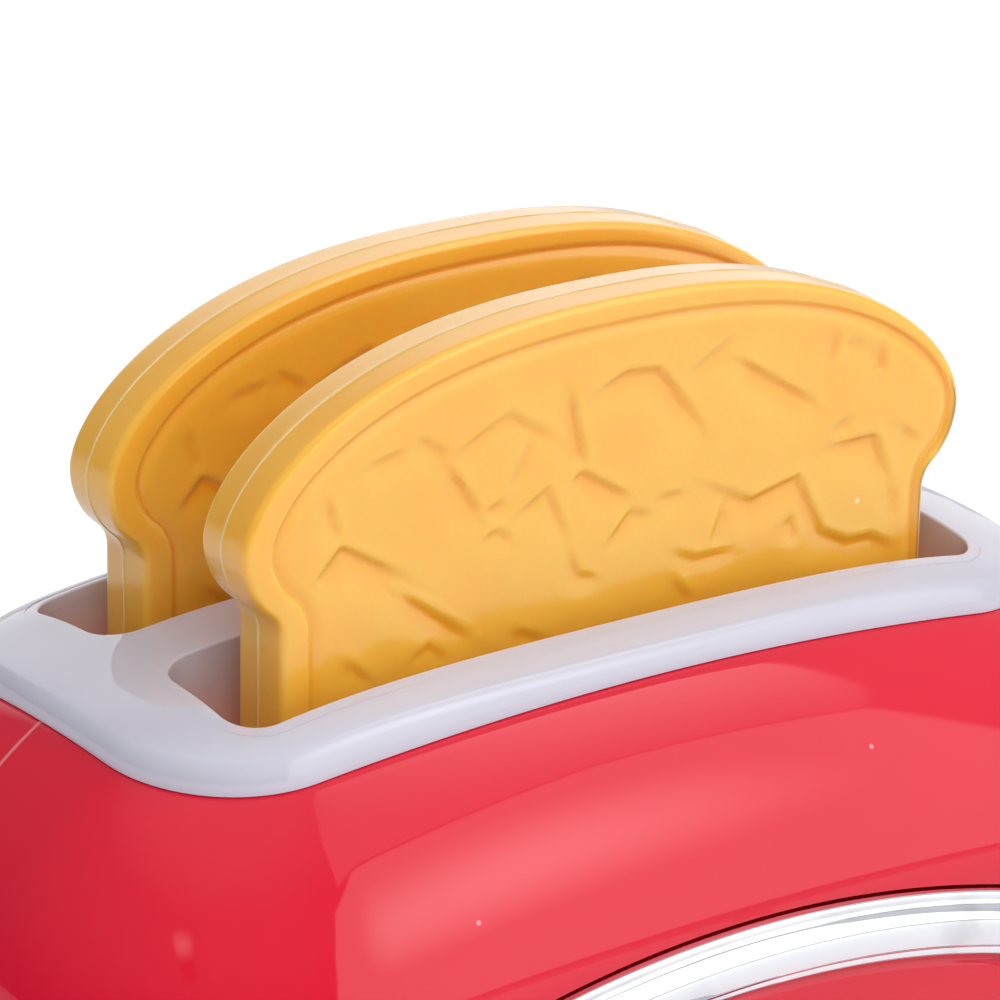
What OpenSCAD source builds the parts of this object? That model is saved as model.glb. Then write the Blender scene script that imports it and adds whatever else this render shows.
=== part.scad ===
// Toy pop-up toaster: two moulded slices stand on a sprung carriage that a side lever
// pushes down, and a hand-wound clockwork timer lets the carriage go again.
// X runs along the slots, Y to the back and Z up. The origin is on the floor, mid-body.

/* [Body] */
// Border of the panel beyond the rod towers, at both ends
end_border = 2.74; // [2.6:0.02:6]
// Border of the panel beyond the slots, front and back
side_border = 6.49; // [6:0.01:9]
// Height of the white panel's crown above the floor
body_height = 118; // [114:0.5:128]
// Wall of the red shells
shell_wall = 2.4; // [1.8:0.1:2.8]
// Radius of the body's upright corners, seen from above
corner_radius = 33; // [31:0.5:37]
// Radius of the shoulder between flank and panel, seen in section
shoulder_radius = 36; // [33:0.5:38]
// Slope of the shoulder where the panel begins, in degrees
shoulder_slope = 31; // [28:1:36]
// How far the flanks flare out from shoulder to foot
flank_flare = 1.5; // [0:0.1:3]
// Outward bow of the two ends
end_bow = 2.1; // [0.5:0.1:3]
// Outward bow of the front and the back
side_bow = 0.8; // [0.2:0.1:1.6]
// Radius of the turned-in bottom edge
foot_radius = 5; // [4:0.5:7]
// Height of the rubber feet
foot_height = 4; // [3:0.5:6]

/* [Top panel] */
// Drop from the crown to the panel's edge at mid-length
panel_drop = 4.3; // [3:0.1:5]
// Fall of the panel towards its two ends
panel_fall_ends = 3.6; // [1:0.1:4.5]
// Fall of the panel towards front and back
panel_fall_sides = 2.1; // [1:0.1:3]
// Further fall of the panel towards its four corners
panel_fall_corners = 2; // [0:0.1:2.5]
// How much further the crown bends down near the panel's edge
crown_turn = 1.6; // [1:0.1:2]
// Thickness of the panel
panel_wall = 2.4; // [2:0.1:3]
// Width of the rounded edge of the panel
panel_roll = 1.6; // [1:0.1:3]
// Clearance between a slice's lobes and the ends of its slot
slot_play = 1.8; // [1.5:0.1:3]
// Clearance between a slice's faces and the sides of its slot
face_play = 4.65; // [4.4:0.05:5.5]
// Width of the bridge between the slots
slot_bridge = 9.5; // [8.6:0.1:11]
// Corner radius of a slot
slot_corner = 4.5; // [3:0.5:6]
// Depth of the chute under a slot
chute_depth = 36; // [32:0.5:38]
// Wall of the chutes
chute_wall = 1.6; // [1.2:0.1:2]

/* [Toast] */
// Width of a slice between its straight sides
toast_width = 92.4; // [86:0.2:104]
// How far a lobe stands out beyond the straight side
lobe_bulge = 4.9; // [3.5:0.1:5.5]
// Height of a slice
toast_height = 90; // [86:0.5:92]
// Height of the crown above the widest line
toast_crown = 21.4; // [19:0.2:23]
// Thickness of a slice
toast_thickness = 9; // [7.5:0.1:9.4]
// Radius of a lobe below the widest line
lobe_radius = 9.6; // [8.5:0.1:10.5]
// Radius where a lobe runs into the straight side
neck_radius = 3.5; // [2.5:0.1:4.5]
// Height of the raised slices above the panel's crown
toast_show = 35.2; // [33:0.2:37]
// Distance that the slices stand to the lever's side
toast_shift = 1.2; // [0:0.1:1.4]
// Width of the smooth crust band
crust_band = 2.1; // [2.1:0.1:3]
// How far the groove and the crumb face lie to the lever's side of the outline
crumb_shift = 1.3; // [0:0.1:1.3]
// Depth of the groove that runs inside the crust band
groove_depth = 0.55; // [0.3:0.05:0.8]
// Depth of the crumb face below the crust band
crumb_depth = 0.2; // [0:0.05:0.4]

/* [Front ring] */
// Height of the chrome ring
ring_height = 58; // [52:0.5:60]
// Radius of its long bowed sides
ring_bow = 150; // [130:5:200]
// Radius of its two ends
ring_end = 25; // [22.5:0.5:25.5]
// Width of the chrome band
ring_width = 8; // [6:0.5:9]
// Height of the chrome bead above the front
ring_proud = 2.6; // [1.5:0.1:4]
// Gap between ring and body
ring_gap = 0.5; // [0.3:0.1:0.8]
// Height of the ring's centre above the floor
ring_centre = 58.3; // [57:0.1:60]
// Radius of the timer knob
knob_radius = 15; // [12:0.5:16]
// How far the knob stands out from the front
knob_out = 15; // [12:0.5:18]

/* [Lift] */
// Travel of the lever and the slices
travel = 32; // [28:0.5:33]
// Distance from the end of a slot to the guide rod beside it
rod_gap = 5.5; // [5.4:0.1:8]
// Radius of the guide rods
rod_radius = 2; // [1.5:0.1:2.2]
// Running clearance of turning and sliding pieces
running_gap = 0.08; // [0.05:0.01:0.1]
// Clearance round the slices and the lever
loose_gap = 0.3; // [0.25:0.05:0.4]
// Wire of the lift springs
lift_wire = 0.8; // [0.6:0.1:0.9]
// Turns of a lift spring
lift_turns = 9; // [7:1:10]
// Width of the lever's handle, front to back
handle_width = 26; // [20:1:34]

/* [Fasteners and feet] */
// Radius of the screws' thread
screw_radius = 1.5; // [1.2:0.1:1.8]
// Radius of the screws' heads
screw_head = 2.8; // [2.4:0.1:3.2]
// Height of the screws' heads
head_height = 1.3; // [1:0.1:1.8]
// Length of a case screw under its head
case_screw = 18; // [15:0.5:22]
// Length of a base screw under its head
base_screw = 9; // [8:0.5:12]
// Wall round a screw's thread
boss_wall = 2.5; // [2:0.1:3]
// Wall between a screw's well and its seat
well_floor = 6; // [5:0.5:8]
// Radius of a foot
foot_pad = 8; // [6:0.5:10]

/* [Timer] */
// Teeth of the two wheels
wheel_teeth = 36; // [34:1:38]
// Teeth of the two pinions
pinion_teeth = 12; // [11:1:12]
// Tooth module of the first pair
first_module = 0.8; // [0.75:0.01:0.82]
// Tooth module of the second pair
second_module = 0.6; // [0.55:0.01:0.62]
// Play between meshing teeth
tooth_play = 0.16; // [0.12:0.01:0.22]
// Teeth of the escape wheel
escape_teeth = 12; // [12:1:12]
// Outer radius of the escape wheel
escape_radius = 8; // [7.5:0.1:8.3]
// Radius of the snail cam when the timer stands at zero
cam_radius = 9; // [8.5:0.1:9.5]
// Rise of the cam over the timer's turn
cam_rise = 3.2; // [2.8:0.1:3.4]
// Turn of the timer knob, in degrees
timer_turn = 300; // [240:10:320]
// Radius of the wheels' steel shafts
pivot_radius = 0.9; // [0.7:0.1:1]
// Radius of the timer's main shaft
arbor_radius = 1.5; // [1.3:0.1:1.8]

/* [Hidden] */
$fn = 48;

// Body levels and insets
toast_lobes = toast_width + 2 * lobe_bulge;
slot_length = toast_lobes + 2 * slot_play;
slot_width = toast_thickness + 2 * face_play;
slot_pitch = slot_width + slot_bridge;
rod_offset = slot_length / 2 + rod_gap;
tower_radius = rod_radius + 1.6;
edge_inset = -shoulder_radius * (1 - sin(shoulder_slope));
half_l = rod_offset + tower_radius + end_border - edge_inset;
half_d = (slot_pitch + slot_width) / 2 + side_border - edge_inset;
front = -half_d;
edge_top = body_height - panel_drop;
flank_top = edge_top - shoulder_radius * cos(shoulder_slope);
foot_inset = flank_flare - foot_radius;
panel_l = half_l + edge_inset;
panel_d = half_d + edge_inset;
lip_width = 2.2;
skirt_width = 1.6;
skirt_depth = 3.5;
seat_gap = 0.1;
panel_under = body_height - panel_wall - 0.75 * (panel_fall_ends + crown_turn);
base_wall = 2.5;
base_top = foot_height + base_wall;

// Slices and carriage
toast_apex = body_height + toast_show;
toast_widest = toast_apex - toast_crown;
toast_bottom = toast_apex - toast_height;
rail_wall = 1.4;
rail_floor = 2;
rail_lip = 1.6;
rail_top = toast_bottom - loose_gap;
rail_half = toast_thickness / 2 + loose_gap + rail_wall;
cross_in = max(toast_width / 2 + toast_shift + 1.2, slot_length / 2 - 4.6);
cross_out = rod_offset - rod_radius - 3.2;
hub_radius = rod_radius + 2.5;
hub_low = rail_top - 9;
hub_high = rail_top + 10;
chute_bottom = body_height - chute_depth;
socket_top = base_top + 4.5;
rod_top = body_height - 22;
tower_low = hub_high + loose_gap;
arm_half = 2.5;
arm_low = rail_top - 5;
arm_high = rail_top + 1;
lever_in = half_l + flank_flare + 1.6;
lever_out = lever_in + 14;
lever_slot = arm_half + 0.5;

// Depths behind the front face of everything that the ring carries, front to back
pocket = 3;
pocket_wall = 2.4;
plate_wall = 1;
plate_1 = pocket + pocket_wall + 1;
spring_layer = [plate_1 + plate_wall + 0.4, plate_1 + plate_wall + 3.2];
escape_layer = [plate_1 + plate_wall + 1, plate_1 + plate_wall + 2.2];
drive_layer = [spring_layer[1] + 0.6, spring_layer[1] + 2.4];
second_layer = [drive_layer[1] + 0.8, drive_layer[1] + 2];
cam_layer = [second_layer[1] + 0.8, second_layer[1] + 2.2];
latch_layer = [cam_layer[1] + 0.6, cam_layer[1] + 2.2];
plate_2 = latch_layer[1] + 0.6;
shaft_end = plate_2 + plate_wall;

// The timer's train, seen from the front with the knob at the origin
ring_half = ring_height / 2;
ring_end_x = sqrt(pow(ring_bow - ring_end, 2) - pow(ring_bow - ring_half, 2));
train_1 = 200;
train_2 = 285;
train_3 = 20;
centre_1 = (wheel_teeth + pinion_teeth) * first_module / 2;
centre_2 = (wheel_teeth + pinion_teeth) * second_module / 2;
pin_radius = 0.45;
pallet_reach = escape_radius + 0.25 + pin_radius;
centre_3 = pallet_reach * cos(37.5) + 5.6;
second_at = polar(centre_1, train_1);
escape_at = second_at + polar(centre_2, train_2);
pallet_at = escape_at + polar(centre_3, train_3);
follower_angle = 73;
follower_radius = 1.2;
follower_at = polar(cam_radius + follower_radius + loose_gap, follower_angle);
latch_arm = 28.2;
latch_at = polar(cam_radius + follower_radius + loose_gap + cam_rise / 2, follower_angle)
    + polar(latch_arm, follower_angle - 90);
latch_turn = cam_rise / latch_arm * 180 / PI;
catch_right = latch_at[0] - 3.4;
catch_left = catch_right - 5.6;
catch_top = rail_top - 2.7;
catch_low = catch_top - 4;
nose_low = catch_top - travel + loose_gap - ring_centre;
pillar_radius = 2;
pillars = [[-27, 10], [15, 19], [14, -15.5], [-27, -25]];
plate_box = [-30.5, -28.5, 18.5, 22.5];

// Screws
boss_radius = screw_radius + boss_wall;
well_radius = screw_head + loose_gap + 1.5;
case_screw_at = [
    for (side = [-1, 1]) [side * (rod_offset + 10), flank_top + 4.5],
    for (side = [-1, 1]) [side * (rod_offset + 9), base_top + 8.5]
];
base_screw_at = [for (x = [-1, 1], y = [-1, 1]) [x * (rod_offset - 12.4), y * (half_d - 14)]];
feet_at = [for (x = [-1, 1], y = [-1, 1]) [x * (half_l - 24), y * (half_d - 21)]];

function polar(r, a) = [r * cos(a), r * sin(a)];
function reversed(v) = [for (i = [len(v) - 1:-1:0]) v[i]];

// ---- Body surface ---------------------------------------------------------------

steps_end = 3;
steps_corner = 10;
steps_side = 7;

// A quarter of the body's outline, s outside the flank line, with bowed sides
function quarter(s) =
    let (a = half_l - end_bow + s, b = half_d - side_bow + s, r = max(corner_radius + s, 0.5))
    [for (p = concat(
        [for (i = [0:steps_end - 1]) [a, (b - r) * i / steps_end]],
        [for (i = [0:steps_corner]) [a - r, b - r] + polar(r, 90 * i / steps_corner)],
        [for (i = [1:steps_side]) [(a - r) * (1 - i / steps_side), b]]))
        [p[0] + end_bow * (1 - pow(p[1] / b, 2)), p[1] + side_bow * (1 - pow(p[0] / a, 2))]];

// Half of the outline, from the lever's end round the front or the back to the other end
function half_outline(s, side) =
    let (q = quarter(s), n = len(q))
    concat([for (p = q) [p[0], side * p[1]]], [for (i = [n - 2:-1:0]) [-q[i][0], side * q[i][1]]]);

function outline(s) =
    let (f = half_outline(s, -1), b = half_outline(s, 1), n = len(f))
    concat(f, [for (i = [n - 2:-1:1]) b[i]]);

// A level is [offset from the flank line, height, share of the panel's fall]
function shoulder_level(a, inward) =
    let (r = shoulder_radius - inward)
    [r * sin(a) - shoulder_radius, flank_top + r * cos(a), cos(a) / cos(shoulder_slope)];

function foot_level(t, inward) =
    let (r = foot_radius - inward)
    [foot_inset + r * cos(t), foot_height + foot_radius - r * sin(t), 0];

function shoulder_angle(i, n) = shoulder_slope + (90 - shoulder_slope) * i / n;

function flank_level(k, inward) =
    let (low = foot_height + foot_radius)
    [flank_flare * sin(90 * k) - inward, flank_top + (low - flank_top) * k, 0];

// Squared distances from the middle as shares of the panel's half length and half depth
function shares(p) = [pow(p[0] / panel_l, 2), pow(p[1] / panel_d, 2)];
function fall(p) =
    let (s = shares(p))
    panel_fall_ends * s[0] + panel_fall_sides * s[1] + panel_fall_corners * s[0] * s[1];
function at_level(p, l) = [p[0], p[1], l[1] - l[2] * fall(p)];

// One side of the shell's wall, from the lip down to the foot
function shell_side(inward) = concat(
    [[edge_inset - lip_width, edge_top - inward, 1]],
    [for (i = [0:6]) shoulder_level(shoulder_angle(i, 6), inward)],
    [for (k = [0.33, 0.66]) flank_level(k, inward)],
    [for (t = [0, 30, 60, 90]) foot_level(t, inward)]);

// The shell's closed section, down the outside and up the inside
shell_section = concat(shell_side(0), reversed(shell_side(shell_wall)));

// Triangles that close a ring of m points, each point joined to the one across from it
function cap(m) = [
    for (k = [0:ceil(m / 2) - 2])
        let (across = m - 1 - k)
        each (across - 1 > k + 1 ? [[k, k + 1, across - 1], [k, across - 1, across]] : [[k, k + 1, across]])
];

// Solid through a row of rings of equal length, capped at both ends or joined into a loop
module loft(rings, flip = false, loop = false) {
    n = len(rings);
    m = len(rings[0]);
    sides = [
        for (i = [0:n - (loop ? 1 : 2)], j = [0:m - 1])
            let (k = (j + 1) % m, a = i * m, b = (i + 1) % n * m)
            each [[a + j, a + k, b + k], [a + j, b + k, b + j]]
    ];
    caps = loop ? [] : [for (t = cap(m)) each [reversed(t), [for (j = t) (n - 1) * m + j]]];
    faces = concat(sides, caps);
    polyhedron(
        points = [for (r = rings) each r],
        faces = flip ? [for (f = faces) reversed(f)] : faces,
        convexity = 8);
}

module half_body(section, side) {
    levels = [for (l = section) [for (p = half_outline(l[0], side)) at_level(p, l)]];
    count = len(levels[0]);
    loft([for (i = [0:count - 1]) [for (l = levels) l[i]]], side > 0);
}

// Half of the body, solid, out to the middle of its wall: it trims bosses and ribs
module half_core(side) {
    levels = concat(
        [for (i = [0:4]) shoulder_level(shoulder_angle(i, 4), shell_wall / 2)],
        [for (t = [0, 45, 90]) foot_level(t, shell_wall / 2)]);
    sink = panel_fall_ends + panel_fall_sides + panel_fall_corners;
    loft([for (l = levels) [for (p = half_outline(l[0], side)) [p[0], p[1], l[1] - l[2] * sink]]], side < 0);
}

// ---- Front ring outline ---------------------------------------------------------

module on_front(depth = 0) {
    translate([0, front + depth, ring_centre]) rotate([90, 0, 0]) children();
}

// From one depth behind the front face to another
module layer(span) {
    translate([0, 0, -span[1]]) linear_extrude(span[1] - span[0]) children();
}

function ring_lean() = atan(ring_end_x / (ring_bow - ring_half));

// Bowed oval of the ring, offset outwards by d
function ring_outline(d, ends = 18, sides = 9) =
    let (lean = ring_lean(), drop = ring_bow - ring_half)
    concat(
        [for (i = [0:ends]) [ring_end_x, 0] + polar(ring_end + d, (90 - lean) * (2 * i / ends - 1))],
        [for (i = [1:sides - 1]) [0, -drop] + polar(ring_bow + d, 90 - lean + 2 * lean * i / sides)],
        [for (i = [0:ends]) [-ring_end_x, 0] + polar(ring_end + d, 90 + lean + (180 - 2 * lean) * i / ends)],
        [for (i = [1:sides - 1]) [0, drop] + polar(ring_bow + d, 270 - lean + 2 * lean * i / sides)]);

module ring_shape(d) {
    polygon(ring_outline(d));
}

// ---- Shells ---------------------------------------------------------------------

module boss_column(at, r, from, to) {
    translate([at[0], from, at[1]]) rotate([-90, 0, 0]) cylinder(r = r, h = to - from);
}

module upright_boss(at, side) {
    translate([at[0], at[1], base_top]) cylinder(r = boss_radius, h = base_screw + 3);
    translate([at[0] - 1, min(at[1], side * half_d), base_top + 2])
        cube([2, abs(half_d - abs(at[1])), base_screw]);
}

module lever_cut() {
    translate([half_l - 12, -lever_slot, arm_low - travel - 1])
        cube([30, 2 * lever_slot, arm_high - arm_low + travel + 2]);
}

module front_shell() {
    color([0.86, 0.10, 0.20]) difference() {
        union() {
            half_body(shell_section, -1);
            intersection() {
                half_core(-1);
                union() {
                    on_front() layer([1, pocket + pocket_wall]) ring_shape(2.5);
                    for (p = case_screw_at) boss_column(p, boss_radius, front, -seat_gap);
                    for (p = base_screw_at) if (p[1] < 0) upright_boss(p, -1);
                }
            }
            on_front() for (p = pillars) translate([p[0], p[1], -plate_1 + seat_gap])
                cylinder(r = 3.4, h = plate_1 - pocket - 1);
            on_front() translate([latch_at[0], latch_at[1], -latch_layer[0] + seat_gap])
                cylinder(r = 2.8, h = latch_layer[0] - pocket - 1);
        }
        on_front() translate([0, 0, -pocket]) linear_extrude(pocket + 8) ring_shape(ring_gap);
        on_front() translate([0, 0, -plate_1]) cylinder(r = arbor_radius + 0.8, h = plate_1);
        on_front() for (p = pillars) translate([p[0], p[1], -plate_1 - 1])
            cylinder(r = 1.2 + running_gap, h = 4);
        on_front() translate([latch_at[0], latch_at[1], -latch_layer[0] - 1])
            cylinder(r = 1.2 + running_gap, h = 9);
        for (p = case_screw_at) boss_column(p, screw_radius + running_gap, well_floor - case_screw - 2, 1);
        for (p = base_screw_at) translate([p[0], p[1], base_top - 1])
            cylinder(r = screw_radius + running_gap, h = base_screw + 1);
        lever_cut();
    }
}

module back_shell() {
    color([0.86, 0.10, 0.20]) difference() {
        union() {
            half_body(shell_section, 1);
            intersection() {
                half_core(1);
                union() {
                    for (p = case_screw_at) boss_column(p, well_radius, seat_gap, half_d);
                    for (p = base_screw_at) if (p[1] > 0) upright_boss(p, 1);
                }
            }
        }
        for (p = case_screw_at) {
            boss_column(p, screw_radius + 0.15, -1, well_floor + 1);
            boss_column(p, screw_head + loose_gap, well_floor, half_d + 10);
        }
        for (p = base_screw_at) translate([p[0], p[1], base_top - 1])
            cylinder(r = screw_radius + running_gap, h = base_screw + 1);
        lever_cut();
    }
}

// ---- Top panel ------------------------------------------------------------------

module rounded_rect(l, w, r) {
    square([l - 2 * r, w], center = true);
    square([l, w - 2 * r], center = true);
    for (x = [-1, 1], y = [-1, 1]) translate([x * (l / 2 - r), y * (w / 2 - r)]) circle(r);
}

// The crown is flat in the middle and bends down ever faster towards its edge
function crown_fall(p) =
    let (s = shares(p), ends = panel_fall_ends + crown_turn, sides = panel_fall_sides + crown_turn)
    ends * s[0] * s[0] + sides * s[1] * s[1] + panel_fall_corners * s[0] * s[1];
function crown_point(p) = [p[0], p[1], body_height - crown_fall(p)];
function edge_point(p, z) = [p[0], p[1], edge_top + z - fall(p)];

// Crowned panel with a rolled edge, a flat underside and a skirt inside the shells' lip
module panel_skin() {
    inner = edge_inset - lip_width - 0.2;
    rim = 0.6;
    loft(concat(
        [[for (p = outline(inner - skirt_width)) [p[0], p[1], panel_under]]],
        [for (s = [inner - skirt_width, inner]) [for (p = outline(s)) edge_point(p, -skirt_depth)]],
        [for (s = [inner, edge_inset]) [for (p = outline(s)) edge_point(p, 0.05)]],
        [for (t = [0, 30, 60, 90])
            [for (p = outline(edge_inset - panel_roll * (1 - cos(t))))
                (1 - sin(t)) * edge_point(p, rim) + sin(t) * crown_point(p)]],
        [for (k = [0.85, 0.7, 0.5, 0.12]) [for (p = outline(edge_inset)) crown_point(k * p)]]));
}

module slots(grow, low, high) {
    for (y = [-1, 1]) translate([0, y * slot_pitch / 2, low]) linear_extrude(high - low)
        rounded_rect(slot_length + 2 * grow, slot_width + 2 * grow, slot_corner + grow);
}

module top_panel() {
    color([0.86, 0.86, 0.92]) difference() {
        union() {
            panel_skin();
            slots(chute_wall, chute_bottom, panel_under + 0.4);
            for (x = [-1, 1]) translate([x * rod_offset, 0, tower_low])
                cylinder(r = tower_radius, h = panel_under + 0.4 - tower_low);
        }
        slots(0, chute_bottom - 1, body_height + 1);
        for (x = [-1, 1]) translate([x * rod_offset, 0, tower_low - 1])
            cylinder(r = rod_radius + running_gap, h = rod_top - tower_low + 1.5);
    }
}

// ---- Base -----------------------------------------------------------------------

module base_plate() {
    color([0.80, 0.80, 0.84]) difference() {
        union() {
            translate([0, 0, foot_height]) linear_extrude(base_wall - seat_gap)
                polygon(outline(foot_inset - loose_gap));
            for (x = [-1, 1]) translate([x * rod_offset, 0, base_top - 1])
                cylinder(r = hub_radius, h = socket_top - base_top + 1);
        }
        for (x = [-1, 1]) translate([x * rod_offset, 0, base_top - 1])
            cylinder(r = rod_radius + running_gap, h = 10);
        for (p = base_screw_at) translate([p[0], p[1], foot_height - 1]) {
            cylinder(r = screw_radius + 0.15, h = 10);
            cylinder(r = screw_head + loose_gap, h = head_height + 1.1);
        }
        for (p = feet_at) translate([p[0], p[1], foot_height - 1]) cylinder(r = foot_pad + seat_gap, h = 2);
    }
}

module rubber_feet() {
    color([0.25, 0.25, 0.27]) for (p = feet_at) translate([p[0], p[1], 0]) {
        cylinder(r1 = foot_pad - 1, r2 = foot_pad, h = 1);
        translate([0, 0, 1]) cylinder(r = foot_pad, h = foot_height - 0.1);
    }
}

// A cross-head screw whose head sits at the origin with its shank up +Z
module screw(shank) {
    difference() {
        union() {
            cylinder(r = screw_head, h = head_height);
            cylinder(r = screw_radius, h = shank + head_height);
        }
        for (a = [0, 90]) rotate([0, 0, a]) translate([-1.8, -0.35, -1]) cube([3.6, 0.7, 1.8]);
    }
}

module case_screws() {
    color([0.62, 0.62, 0.64]) for (p = case_screw_at)
        translate([p[0], well_floor + head_height + seat_gap, p[1]]) rotate([90, 0, 0]) screw(case_screw);
}

module base_screws() {
    color([0.62, 0.62, 0.64]) for (p = base_screw_at)
        translate([p[0], p[1], foot_height + 0.05]) screw(base_screw);
}

// ---- Front ring, panel and knob -------------------------------------------------

// Section of the chrome band as [distance from its outer edge, height above the pocket's floor]
function bead_section(w, h) = concat(
    [[-w, 0], [-w, h - 1.9], [-w + 0.9, h - 1.5]],
    [for (a = [160:-28:20]) [-w / 2 + (w / 2 - 1.3) * cos(a), h - 1.5 + 1.5 * sin(a)]],
    [[-0.9, h - 1.1], [0, h - 1.6], [0, 0]]);

module trim_ring() {
    color([0.80, 0.81, 0.83]) on_front() translate([0, 0, -pocket + 0.05])
        loft([for (b = bead_section(ring_width, pocket + ring_proud))
            [for (p = ring_outline(b[0])) [p[0], p[1], b[1]]]], loop = true);
}

module front_panel() {
    marks = 7;
    color([0.86, 0.10, 0.20]) on_front() difference() {
        union() {
            layer([0.8, pocket - 0.05]) ring_shape(-ring_width - 0.2);
            layer([0.3, 1]) ring_shape(-ring_width - 1.2);
            for (i = [0:marks - 1]) rotate([0, 0, 210 - i * timer_turn / (marks - 1) * 0.8])
                translate([knob_radius + 1.1, 0, -0.5]) cube([1.6, 0.9, 1], center = true);
        }
        translate([0, 0, -pocket - 1]) cylinder(r = arbor_radius + 0.8, h = pocket + 3);
    }
}

module timer_knob() {
    under = 0.4;
    color([0.90, 0.90, 0.94]) on_front() difference() {
        union() {
            translate([0, 0, under]) cylinder(r = knob_radius, h = 1.5);
            translate([0, 0, under + 1.5]) cylinder(r1 = knob_radius, r2 = knob_radius - 1.5, h = 1.5);
            translate([0, 0, under + 3]) intersection() {
                cylinder(r = knob_radius - 3, h = knob_out - 3 - under);
                translate([-2.6, -knob_radius, -1]) cube([5.2, 2 * knob_radius, knob_out]);
            }
            translate([0, 0, under + 3]) cylinder(r1 = 6, r2 = 4.5, h = 5);
        }
        translate([0, 0, under - 1]) cylinder(r = arbor_radius + 0.02, h = knob_out - 4);
    }
}

// ---- Clockwork ------------------------------------------------------------------

// Outline of a spur gear with involute flanks, a tooth on the +X side
function gear_points(n, m) =
    let (
        rp = n * m / 2, rb = rp * cos(20), ra = rp + 0.8 * m, rf = min(rp - 1.1 * m, rb - 0.02),
        half = 90 / n + (tan(20) * 180 / PI - 20) - tooth_play / 4 / rp * 180 / PI,
        radii = [for (k = [0, 0.25, 0.6, 1]) rb + (ra - rb) * k],
        spread = [for (r = radii) let (c = acos(min(rb / r, 1))) half - (tan(c) * 180 / PI - c)])
    [for (k = [0:n - 1]) each concat(
        [polar(rf, 360 * k / n - half)],
        [for (i = [0:3]) polar(radii[i], 360 * k / n - spread[i])],
        [for (i = [3:-1:0]) polar(radii[i], 360 * k / n + spread[i])],
        [polar(rf, 360 * k / n + half)])];

module spur(n, m, span, turn) {
    layer(span) rotate([0, 0, turn]) polygon(gear_points(n, m));
}

module shaft(r, from, to) {
    translate([0, 0, -to]) cylinder(r = r, h = to - from);
}

module timer_shaft() {
    color([0.70, 0.70, 0.72]) on_front() shaft(arbor_radius, -(knob_out - 5), shaft_end + 0.6);
}

module drive_gear() {
    color([0.92, 0.92, 0.88]) on_front() difference() {
        union() {
            spur(wheel_teeth, first_module, drive_layer, train_1);
            layer([drive_layer[0], second_layer[1]]) circle(3);
        }
        shaft(arbor_radius + 0.02, 0, shaft_end);
        for (i = [0:4]) rotate([0, 0, train_1 + 72 * i + 36]) translate([8, 0, 0])
            shaft(2.6, drive_layer[0] - 1, drive_layer[1] + 1);
    }
}

// Spiral cam: its radius grows by cam_rise over the turn of the timer
function cam_edge(a) = cam_radius + cam_rise * a / timer_turn;

module snail_cam() {
    color([0.92, 0.92, 0.88]) on_front() difference() {
        layer(cam_layer)
            polygon([for (i = [-2:50]) polar(cam_edge(6.2 * i), follower_angle + 6.2 * i)]);
        shaft(arbor_radius + 0.02, 0, shaft_end);
    }
}

// Flat spiral spring round the main shaft, its outer end hooked over the first pillar
module mainspring() {
    inner = arbor_radius + 0.6;
    outer = first_module * wheel_teeth * 0.36;
    strip = 0.4;
    steps = 100;
    hook = pillars[0] + [0, pillar_radius + loose_gap];
    sweep = 4 * 360 + atan2(hook[1], hook[0]) - acos((outer + strip) / norm(hook));
    function coil(k, off) = polar(inner + off + (outer - inner) * k / steps, sweep * k / steps);
    color([0.45, 0.47, 0.52]) on_front() layer(spring_layer) polygon(concat(
        [for (k = [0:steps]) coil(k, 0)],
        [hook, hook + [0, strip]],
        [for (k = [steps:-1:0]) coil(k, strip)]));
}

module second_gear() {
    color([0.92, 0.92, 0.88]) on_front() translate(second_at) {
        spur(pinion_teeth, first_module, [drive_layer[0] - 0.2, second_layer[0]], train_1 + 180 + 180 / pinion_teeth);
        spur(wheel_teeth, second_module, second_layer, train_2);
        shaft(pivot_radius, plate_1 + 0.1, shaft_end - 0.1);
    }
}

module escape_wheel() {
    tips = escape_teeth;
    root = escape_radius - 2.2;
    color([0.85, 0.72, 0.35]) on_front() translate(escape_at) {
        layer(escape_layer) rotate([0, 0, train_3]) polygon([
            for (i = [0:tips - 1]) each [
                polar(root, 360 * i / tips - 11), polar(escape_radius, 360 * i / tips - 1.2),
                polar(escape_radius, 360 * i / tips + 1.2), polar(root, 360 * i / tips + 11)]
        ]);
        spur(pinion_teeth, second_module, [second_layer[0] - 0.2, second_layer[1] + 0.2],
            train_2 + 180 + 180 / pinion_teeth);
        shaft(pivot_radius, plate_1 + 0.1, shaft_end - 0.1);
    }
}

// Two-pin pallet that rocks against the escape wheel
module pallet() {
    deep = [escape_layer[1] + 0.4, escape_layer[1] + 1.4];
    pins = [for (side = [-1, 1]) polar(pallet_reach, 37.5 * side) - [centre_3, 0]];
    color([0.70, 0.70, 0.72]) on_front() translate(pallet_at) rotate([0, 0, train_3]) {
        shaft(pivot_radius * 0.8, plate_1 + 0.1, shaft_end - 0.1);
        layer(deep) circle(2);
        for (p = pins) {
            translate(p) shaft(pin_radius, escape_layer[0] - 0.2, deep[1]);
            layer(deep) rotate([0, 0, atan2(p[1], p[0])]) translate([0, -0.8]) square([norm(p), 1.6]);
            translate(p) layer(deep) circle(0.8);
        }
    }
}

module timer_plate(depth) {
    color([0.78, 0.70, 0.45]) on_front() difference() {
        layer([depth, depth + plate_wall]) translate([plate_box[0], plate_box[1]])
            square([plate_box[2] - plate_box[0], plate_box[3] - plate_box[1]]);
        shaft(arbor_radius + running_gap, 0, depth + 2);
        for (p = [second_at, escape_at]) translate(p) shaft(pivot_radius + running_gap, 0, depth + 2);
        translate(pallet_at) shaft(pivot_radius * 0.8 + running_gap, 0, depth + 2);
        for (p = pillars) translate(p) shaft(1.2 + running_gap, 0, depth + 2);
    }
}

module timer_front_plate() {
    timer_plate(plate_1);
}

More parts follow.
